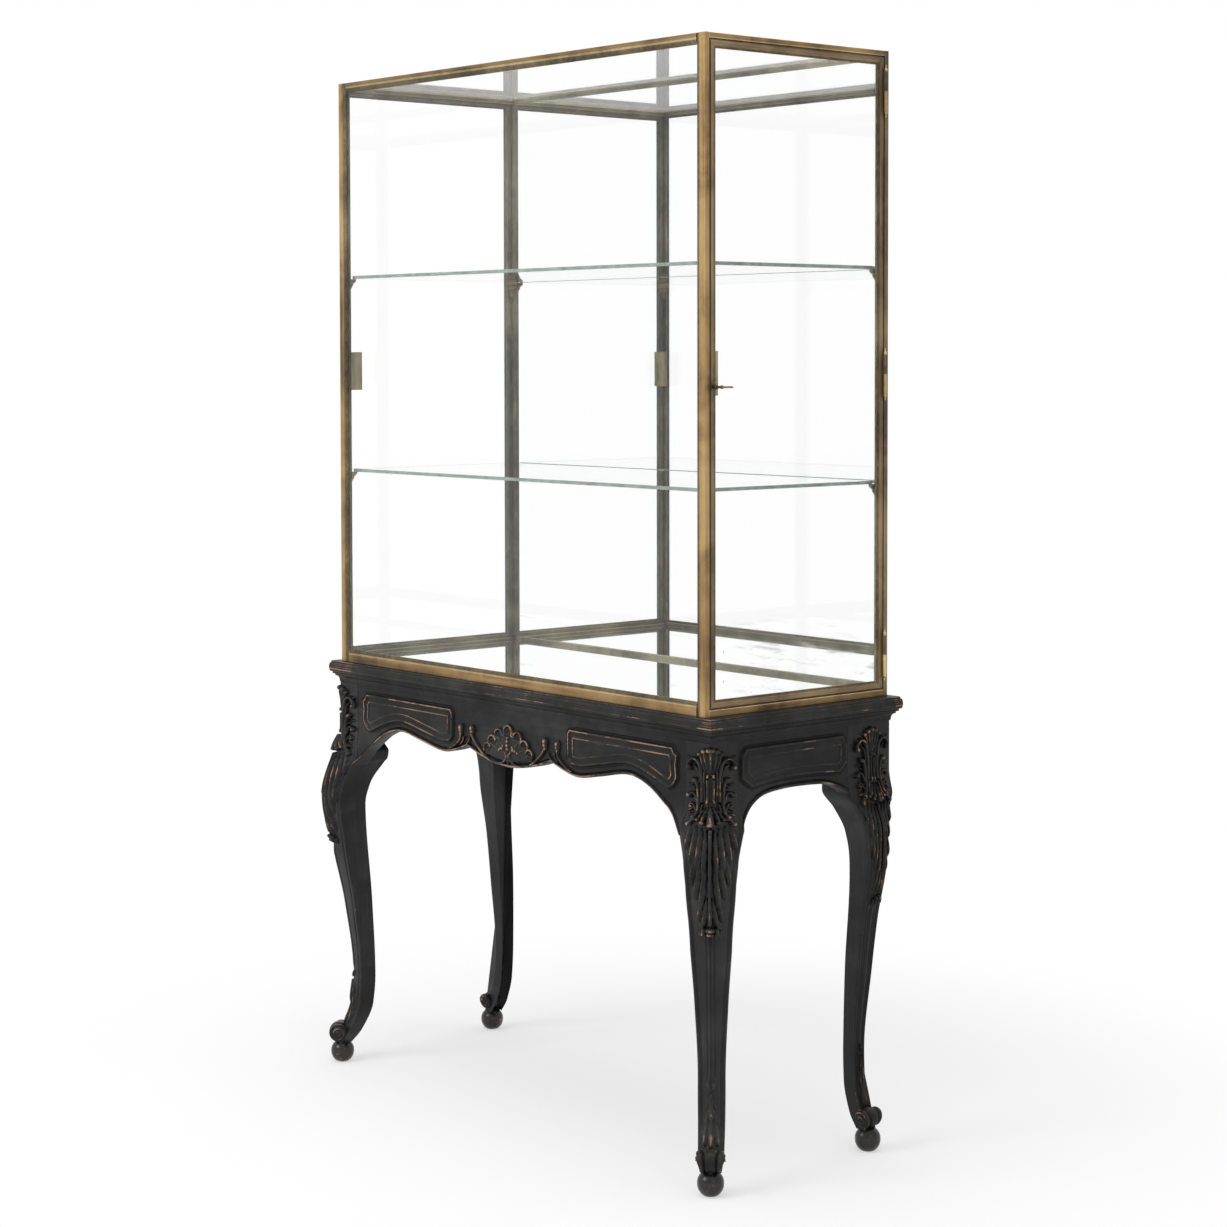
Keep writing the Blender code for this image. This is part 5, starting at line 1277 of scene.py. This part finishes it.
# %% Mouldings of the aprons
def inside_depth(x, z, outline):
    """Distance to a closed outline, positive inside it."""
    apart = np.full_like(x, 1e3)
    inside = np.zeros(x.shape, bool)
    for a, b in zip(outline, np.roll(outline, -1, axis=0)):
        apart = np.minimum(apart, to_segment(x, z, a, b)[1])
        crosses = (a[1] > z) != (b[1] > z)
        across, rise = b - a
        inside ^= crosses & (x < (z - a[1]) * across / (rise if abs(rise) > TINY else TINY) + a[0])
    return np.where(inside, apart, -apart)


# The border of a raised panel, from outside its outline inwards: distance and height in millimetres, and
# wear, where a value below zero is painted shade.
PANEL_STEPS = [
    (-4.5, 0, 0), (-2.6, -1.5, -0.75), (-0.4, -1.2, -0.5), (1.2, 2.6, 0.1), (2.3, 3.5, 0.58),
    (3.9, 3.5, 0.58), (5.2, 2.6, 0.05), (7.0, 1.0, -0.35), (11.0, 0.8, -0.1), (13.2, 1.4, 0.05),
    (14.6, 2.9, 0.60), (16.0, 3.0, 0.60), (17.4, 1.6, -0.3), (19, 1.3, 0),
]
# The run of mouldings above a board's lower edge, in the same way.
EDGE_STEPS = [
    (0, 0.4, 0.2), (1.0, 2.8, 0.5), (2.0, 3.6, 0.60), (3.6, 3.5, 0.60), (4.8, 2.4, 0.1), (5.8, 0, -0.5),
    (7.0, -1.4, -0.8), (8.6, 0, -0.1), (10, 0, 0),
]


def profile(steps, at):
    """Height and wear of a moulding at distances across it; wear below zero is painted shade."""
    places = [step[0] for step in steps]
    return [np.interp(at, places, [step[part] for step in steps]) for part in (1, 2)]


# How worn a panel's border is against its steps, by the height in millimetres above the board's lower edge.
LOW_WEAR = [(0, 0.80), (38, 0.84), (50, 1.0)]


def panelled(depth, above):
    """A panel's border and a board's lower edge together."""
    border, border_wear_and_shade = profile(PANEL_STEPS, depth / MM)
    border_wear_and_shade = border_wear_and_shade * steps_at(LOW_WEAR, above / MM)
    edge, edge_wear_and_shade = profile(EDGE_STEPS, above / MM)
    wear = np.where(np.abs(edge_wear_and_shade) > np.abs(border_wear_and_shade), edge_wear_and_shade, border_wear_and_shade)
    return border + edge, wear


print("moulding steps", len(PANEL_STEPS), len(EDGE_STEPS))

# %% [markdown]
# One grid covers a board's face from its shaped lower edge to the top. Near its ends the face comes
# forwards, to run into the knees beside it. The finished face is then given the thickness of the board,
# with a flat back.

# %% Making a board
APRON_T = 22 * MM
SWELL_LENGTH = 42 * MM
# Rows of a board lie closer together towards its lower edge.
ROW_POWER = 1.25


def swell(to_end, forwards):
    """How far a board's face comes forwards near its end, to run into the knee beside it."""
    share = np.clip(1 - to_end / SWELL_LENGTH, 0, 1)
    return np.maximum(forwards, 0) * share**2 * (3 - 2 * share)


def board(grid, spread, low_edge, relief, spot, wear, name, finish):
    """A shaped board.

    spread(u) is the place along it, low_edge its lower edge, relief its carving, and spot a point on it.
    """

    def place(u, v):
        x = spread(u)
        low = low_edge(x)
        z = low + (LEG_TOP - low) * v**ROW_POWER
        height, rub_and_shade = relief(x, z, low)
        return spot(x, z, height * MM), np.where(rub_and_shade > 0, wear, 1) * rub_and_shade

    bm = bent_grid(*grid, place)
    backed(bm, spot(0.0, 0.0, -APRON_T))
    return piece(name + "_carved", bm, [finish], CASE, [name], crisp=50)


def backed(bm, plane):
    """Closes a carved face with a flat back through a point, across the axis that it looks along."""
    bm.normal_update()
    facing = sum((face.normal for face in bm.faces), Vector())
    axis = max(range(3), key=lambda i: abs(facing[i]))
    grown = bmesh.ops.extrude_face_region(bm, geom=bm.faces[:])
    fresh = [item for item in grown["geom"] if isinstance(item, bmesh.types.BMVert)]
    for vert in fresh:
        vert.co[axis] = plane[axis]
    flat = [item for item in grown["geom"] if isinstance(item, bmesh.types.BMFace)]
    bmesh.ops.dissolve_faces(bm, faces=flat, use_verts=False)


print("boards can be made")

# %% [markdown]
# The front apron dips at its middle under the shell, rises to an arch on each side, and falls into the
# knees. Its edge and its panel are drawn for the right half and mirrored.

# %% The front apron
FRONT_GRID, FRONT_WEAR = (640, 120), 1.0
BOARD_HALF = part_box("front_apron")[1].x
EDGE_POINTS = 10
# The lower edge, as a share of the half length and a height: the dip, then the arch.
MIDDLE_DIP = drawn([(-0.15, 0.643), (0, 0.634), (0.15, 0.643), (0.258, 0.658)], EDGE_POINTS)
ARCH = [(0.258, 0.658), (0.335, 0.646), (0.42, 0.640), (0.54, 0.649), (0.69, 0.661), (0.80, 0.650)]
ARCH += [(0.90, 0.622), (0.955, 0.6005), (1.0, 0.581)]
FRONT_EDGE = np.vstack([MIDDLE_DIP[MIDDLE_DIP[:, 0] >= 0], drawn(ARCH, EDGE_POINTS)[1:]])


def front_low(x):
    return np.interp(np.abs(x) / BOARD_HALF, FRONT_EDGE[:, 0], FRONT_EDGE[:, 1])


PANEL_TOP = LEG_TOP - 14 * MM
# The panel's outer end, as a share of the half length and millimetres down from its top, and its lower edge.
OUTER_END = [(0.936, 0), (0.946, 9), (0.962, 13), (0.956, 30), (0.961, 51), (0.946, 62), (0.928, 69)]
PANEL_LOW = [(0.912, 0.650), (0.88, 0.655), (0.80, 0.669), (0.69, 0.679), (0.54, 0.668), (0.43, 0.659)]
PANEL_LOW += [(0.372, 0.660)]
FRONT_PANEL = np.vstack([
    [(0.366, PANEL_TOP)],
    [(share, PANEL_TOP - down * MM) for share, down in OUTER_END],
    drawn(PANEL_LOW),
    [(0.352, 0.669), (0.350, PANEL_TOP - 9 * MM), (0.358, PANEL_TOP - 3 * MM)],
]) * np.array([BOARD_HALF, 1])
# Columns along half of the board, as shares of the columns and of the length: dense at the panel's ends.
FRONT_COLUMNS = [(0, 0), (0.27, 0.33), (0.43, 0.41), (0.70, 0.86), (1, 1)]


def front_spread(u):
    return np.sign(2 * u - 1) * steps_at(FRONT_COLUMNS, np.abs(2 * u - 1)) * BOARD_HALF


def front_relief(x, z, low):
    height, wear = panelled(inside_depth(np.abs(x), z, FRONT_PANEL), z - low)
    return height + swell(BOARD_HALF - np.abs(x), flow(FRONT_OUTER, z) / math.sqrt(2)) / MM, wear


def front_spot(x, z, height):
    return np.stack(np.broadcast_arrays(x, MIDDLE_Y - FRIEZE_Y - height, z), axis=-1)


board(FRONT_GRID, front_spread, front_low, front_relief, front_spot, FRONT_WEAR, "front_apron", EBONY_LONG)
print("front apron made")

# %% [markdown]
# A side apron is one arch with one panel. Its edge falls less towards the back leg, whose ears are shorter,
# and the panel runs further that way. The back apron is plain, so it is a softened copy.

# %% The side and back aprons
SIDE_GRID, SIDE_WEAR = (300, 120), 0.78
BACK_EASE = 0.8 * MM
SIDE_LOW, SIDE_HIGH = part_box("right_apron")
SIDE_MIDDLE, SIDE_HALF = (SIDE_LOW.y + SIDE_HIGH.y) / 2, (SIDE_HIGH.y - SIDE_LOW.y) / 2
SIDE_ARCH = 0.646
SIDE_DROP = SIDE_ARCH - EAR_LOW
BACK_DROP = SIDE_ARCH - BACK_EAR_LOW
SIDE_EDGE = drawn([(-0.5, -0.09), (0, 0), (0.5, -0.09), (0.74, -0.34), (0.92, -0.72), (1, -1)], EDGE_POINTS)
SIDE_EDGE = SIDE_EDGE[SIDE_EDGE[:, 0] >= 0]


def side_low(y):
    fall = np.interp(np.abs(y) / SIDE_HALF, SIDE_EDGE[:, 0], SIDE_EDGE[:, 1])
    return SIDE_ARCH + np.where(y > 0, BACK_DROP, SIDE_DROP) * fall


FRONT_END, BACK_END = SIDE_HALF * 0.944, SIDE_HALF * 0.990
# How far the panel's lower edge lies above the board's, at the middle of the arch.
PANEL_ABOVE = 17 * MM
panel_arch = drawn([(0.86, -0.18), (0.45, -0.05), (0, 0), (-0.45, -0.05), (-0.76, -0.16)])
fall = np.where(panel_arch[:, 0] > 0, BACK_DROP, SIDE_DROP)
arch_rise = SIDE_ARCH + PANEL_ABOVE + panel_arch[:, 1] * fall
panel_arch = np.column_stack([panel_arch[:, 0] * SIDE_HALF, arch_rise])
# The cut corner of a panel: inwards from its end and down from its top.
NOTCH = [(0, 16 * MM), (3 * MM, 9 * MM), (10 * MM, 0)]
SIDE_PANEL = np.vstack([
    [(-FRONT_END + inwards, PANEL_TOP - down) for inwards, down in NOTCH],
    [(BACK_END - inwards, PANEL_TOP - down) for inwards, down in reversed(NOTCH)],
    [(BACK_END, PANEL_TOP - 48 * MM)],
    panel_arch,
    [(-FRONT_END, PANEL_TOP - 50 * MM)],
])


def side_spread(u):
    return (2 * u - 1) * SIDE_HALF


def side_relief(y, z, low):
    height, wear = panelled(inside_depth(y, z, SIDE_PANEL), z - low)
    at_front = swell(SIDE_HALF + y, flow(FRONT_OUTER, z) / math.sqrt(2))
    at_back = swell(SIDE_HALF - y, flow(BACK_OUTER, z))
    return height + (at_front + at_back) / MM, wear


for name, side in (("left_apron", -1), ("right_apron", 1)):
    def side_spot(y, z, height, side=side):
        return np.stack(np.broadcast_arrays(side * (FRIEZE_X + height), SIDE_MIDDLE + y, z), axis=-1)

    board(SIDE_GRID, side_spread, side_low, side_relief, side_spot, SIDE_WEAR, name, EBONY_SHORT)
softened("back_apron", [EBONY_LONG], CASE, BACK_EASE)
print("side and back aprons made")

# %% [markdown]
# The shell at the middle of the front apron is a fan of rimmed lobes with beaded sprigs in its middle. Two
# scrolls sweep under it from a pair of buds on each side. Its plan is in millimetres from the middle and
# above the floor.

# %% The plan of the shell
# Scallops of the fan on one side, as the middle of each and its radius, and the fan's body.
SCALLOPS = [(0, 697, 13.5), (27, 688, 13.5), (46, 675.5, 13), (60, 662, 12)]
FAN_SIDE = [(58, 652), (60, 662), (46, 675.5), (27, 688), (0, 697)]
FAN = np.array([(0, 643), *FAN_SIDE, *((-x, z) for x, z in reversed(FAN_SIDE[:-1]))], float)
SHELL_BEADS = [
    (
        [(104, 680), (97, 670), (80, 656), (62, 645), (42, 639.5), (20, 640), (7, 647), (5, 656), (9, 662)],
        (3.0, 2.2), 5.6,
    ),
    ([(138, 678), (141, 668), (150, 660), (162, 653), (176, 648)], (2.8, 1.8), 5.0),
    ([(130, 674), (132, 667), (138, 661)], (1.8, 1.7), 4.4),
    ([(112, 674), (115, 667), (121, 662)], (1.8, 1.7), 4.4),
    ([(14.5, 698), (6, 674)], (1.5, 1.0), 3.6),
    ([(38, 687), (13, 669)], (1.5, 1.0), 3.6),
    ([(55, 671), (19, 662)], (1.5, 1.0), 3.6),
    ([(0, 640), (0, 656)], (2.6, 3.0), 5.2),
]
SHELL_BUDS = [
    ((104.5, 692), 7.0, 7.4), ((104.5, 686), 6.2, 6.8), ((105, 680), 4.6, 5.6),
    ((138.5, 691), 7.0, 7.2), ((138.5, 685), 6.2, 6.6), ((138.5, 679.5), 4.6, 5.4),
    ((0, 686), 3.8, 6.6), ((0, 680), 4.8, 7.4), ((0, 673), 5.2, 7.6), ((0, 667), 4.4, 6.6),
    ((13, 671), 3.4, 6.2), ((16, 667), 5.2, 7.2), ((21, 665), 4.0, 6.0), ((26.5, 662), 2.8, 4.6),
]
SHELL_WEAR, BUD_WEAR, RIM_WEAR, LINE_WEAR = (0.56, 0.6, 0.6), (0.66, 0.68, 0.66), 0.62, 0.4
# The rim of the fan and the line inside it: distance from the edge, half width and height.
RIM_AT, RIM_WIDE, RIM_HIGH = 2.4, 2.8, 4.9
LINE_AT, LINE_WIDE, LINE_HIGH = 7.4, 1.5, 2.6
# The fan's ground, how deep each lobe is dished into it and how much painted shade the dish takes, and
# where the rim ends above the scrolls.
GROUND_HIGH, DISH_DEPTH, DISH_SHADE = 2.4, 1.9, 0.6
RIM_FOOT, FOOT_RUN = 652, 5


def shell_relief(x, z):
    """Heights and wear in millimetres over the apron's face, wear below zero being painted shade; x is the
    distance from the middle.
    """
    depth = inside_depth(x, z, FAN)
    hollow = np.zeros_like(x)
    for at, up, radius in SCALLOPS:
        apart = np.hypot(x - at, z - up)
        depth = np.maximum(depth, radius - apart)
        hollow = np.maximum(hollow, np.clip(1 - (apart / radius) ** 2, 0, 1))
    dish = np.where(depth > 0, GROUND_HIGH - DISH_DEPTH * hollow, 0)
    upper = np.clip((z - RIM_FOOT) / FOOT_RUN, 0, 1)
    rim = np.sqrt(np.clip(1 - ((depth - RIM_AT) / RIM_WIDE) ** 2, 0, 1)) * upper
    line = np.sqrt(np.clip(1 - ((depth - LINE_AT) / LINE_WIDE) ** 2, 0, 1)) * upper
    cuts = [
        (dish, -DISH_SHADE * hollow),
        (RIM_HIGH * rim, RIM_WEAR * rim**3),
        (LINE_HIGH * line, LINE_WEAR * line**3),
        carved(x, z, SHELL_BEADS, [], [], SHELL_WEAR),
        carved(x, z, [], SHELL_BUDS, [], BUD_WEAR),
    ]
    return higher(*cuts)


print("shell plan", len(SHELL_BEADS) + len(SHELL_BUDS), "cuts a side")

# %% [markdown]
# The shell is a second grid over the front board. Where nothing is carved the grid dips into the board, and
# its faces there are taken away. What is left is given a back inside the board.

# %% The apron shell
SHELL_HALF, SHELL_LOW, SHELL_HIGH = 182 * MM, 634 * MM, 713 * MM
ABOVE_EDGE = 0.4 * MM
SHELL_GRID, SHELL_PASSES = (470, 104), 8
# Lower carving than this counts as bare, the depth of the dip there, and the depth that marks a face as bare.
BARE_HEIGHT, DIP, BARE_DEPTH = 0.05, 1.5, 1.4 * MM
SHELL_BACK = 2 * MM


def shell_place(u, v):
    x = (2 * u - 1) * SHELL_HALF
    low = np.maximum(front_low(x) + ABOVE_EDGE, SHELL_LOW)
    z = low + (SHELL_HIGH - low) * v
    height, crown = shell_relief(np.abs(x) / MM, z / MM)
    # The stored value: wear on crowns, and below zero painted shade in hollows.
    rub_and_shade = crown + np.minimum(HOLLOW_SHADE * standing_proud(height, SHELL_PASSES), 0)
    sunk = np.where(height < BARE_HEIGHT, -DIP, height)
    return np.stack([x, MIDDLE_Y - FRIEZE_Y - sunk * MM, z], axis=-1), rub_and_shade


bm = bent_grid(*SHELL_GRID, shell_place)
sunk_y = MIDDLE_Y - FRIEZE_Y + BARE_DEPTH
bare = [face for face in bm.faces if all(vert.co.y > sunk_y for vert in face.verts)]
bmesh.ops.delete(bm, geom=bare, context="FACES")
bmesh.ops.recalc_face_normals(bm, faces=bm.faces)
backed(bm, (0, sunk_y + SHELL_BACK, 0))
piece("apron_shell_carved", bm, [EBONY_SHELL], CASE, ["apron_shell"], crisp=55)
print("shell made")

# %% [markdown]
# The studio is a pale floor that fades into a white surround. Near the object the floor is half a plain matt
# surface, so it keeps a soft shadow; further out it glows white in full for what the camera, glass and metal
# see.

# %% Floor
FLOOR_RADIUS, FLOOR_SEGMENTS = 14, 96


def seen_rays(tree):
    """1 for what the camera sees, straight on or in metal and glass, and 0 for other light."""
    rays = node(tree, "ShaderNodeLightPath")
    shown = node(tree, "ShaderNodeMath", LARGER)
    seen = node(tree, "ShaderNodeMath", LARGER)
    join(tree, rays, "Is Camera Ray", shown, 0)
    join(tree, rays, "Is Glossy Ray", shown, 1)
    join(tree, shown, 0, seen, 0)
    join(tree, rays, "Is Transmission Ray", seen, 1)
    return seen


def pale_floor():
    made, tree, shader = finish_named("pale_floor")
    shader.inputs["Base Color"].default_value = (0.95, 0.95, 0.95, 1)
    shader.inputs["Roughness"].default_value = 0.9
    shader.inputs["Specular IOR Level"].default_value = 0.0
    place = node(tree, "ShaderNodeTexCoord")
    away = node(tree, "ShaderNodeVectorMath", {"operation": "LENGTH"})
    fade = node(tree, "ShaderNodeMapRange", SMOOTH, From_Min=0.55, From_Max=1.5, To_Min=0.5)
    part = node(tree, "ShaderNodeMath", MULTIPLY)
    glow = node(tree, "ShaderNodeEmission", Color=(1, 1, 1, 1), Strength=1.0)
    mixed = node(tree, "ShaderNodeMixShader")
    join(tree, place, "Object", away, 0)
    join(tree, away, "Value", fade, "Value")
    join(tree, fade, "Result", part, 0)
    join(tree, seen_rays(tree), 0, part, 1)
    join(tree, part, 0, mixed, 0)
    join(tree, shader, "BSDF", mixed, 1)
    join(tree, glow, "Emission", mixed, 2)
    join(tree, mixed, "Shader", tree.nodes["Material Output"], "Surface")
    return made


bm = bmesh.new()
bmesh.ops.create_circle(bm, cap_ends=True, segments=FLOOR_SEGMENTS, radius=FLOOR_RADIUS)
floor_mesh = bpy.data.meshes.new("floor")
bm.to_mesh(floor_mesh)
bm.free()
floor_mesh.materials.append(pale_floor())
floor = bpy.data.objects.new("floor", floor_mesh)
bpy.context.scene.collection.objects.link(floor)
print("floor made")

# %% [markdown]
# The surround is white as well for what the camera, glass and metal see, and lights everything else at a
# softer level. Three large lamps give the broad light of a studio.

# %% Surround and lamps
SURROUND_LIGHT = 0.62
surround = bpy.data.worlds.new("surround")
surround.use_nodes = True
bpy.context.scene.world = surround
sky = surround.node_tree
shade = sky.nodes["Background"]
shade.inputs["Color"].default_value = (1, 1, 1, 1)
level = node(sky, "ShaderNodeMapRange", To_Min=SURROUND_LIGHT, To_Max=1.0)
join(sky, seen_rays(sky), 0, level, "Value")
join(sky, level, "Result", shade, "Strength")


def lamp(name, at, aim, size, power):
    """A rectangular lamp at a place, turned to an aim."""
    made = bpy.data.lights.new(name, "AREA")
    made.shape = "RECTANGLE"
    made.size, made.size_y = size
    made.energy = power
    holder = bpy.data.objects.new(name, made)
    holder.location = at
    holder.rotation_euler = (Vector(aim) - Vector(at)).to_track_quat("-Z", "Y").to_euler()
    bpy.context.scene.collection.objects.link(holder)


lamp("key_lamp", at=(-1.0, -4.6, 3.4), aim=(0, 0, 0.9), size=(2.6, 2.0), power=104)
lamp("fill_lamp", at=(4.5, -1.2, 2.2), aim=(0, 0, 0.9), size=(2.0, 2.4), power=12)
lamp("top_lamp", at=(0.2, -0.4, 4.6), aim=(0, 0, 0.8), size=(3.0, 3.0), power=60)
bpy.context.scene.view_settings.view_transform = "Standard"
# A look down through the top meets up to a dozen glass faces and two mirrors, and each one is a bounce.
PANE_BOUNCES, MIRROR_BOUNCES = 28, 8
bpy.context.scene.cycles.max_bounces = PANE_BOUNCES
bpy.context.scene.cycles.transmission_bounces = PANE_BOUNCES
bpy.context.scene.cycles.glossy_bounces = MIRROR_BOUNCES
print("studio made")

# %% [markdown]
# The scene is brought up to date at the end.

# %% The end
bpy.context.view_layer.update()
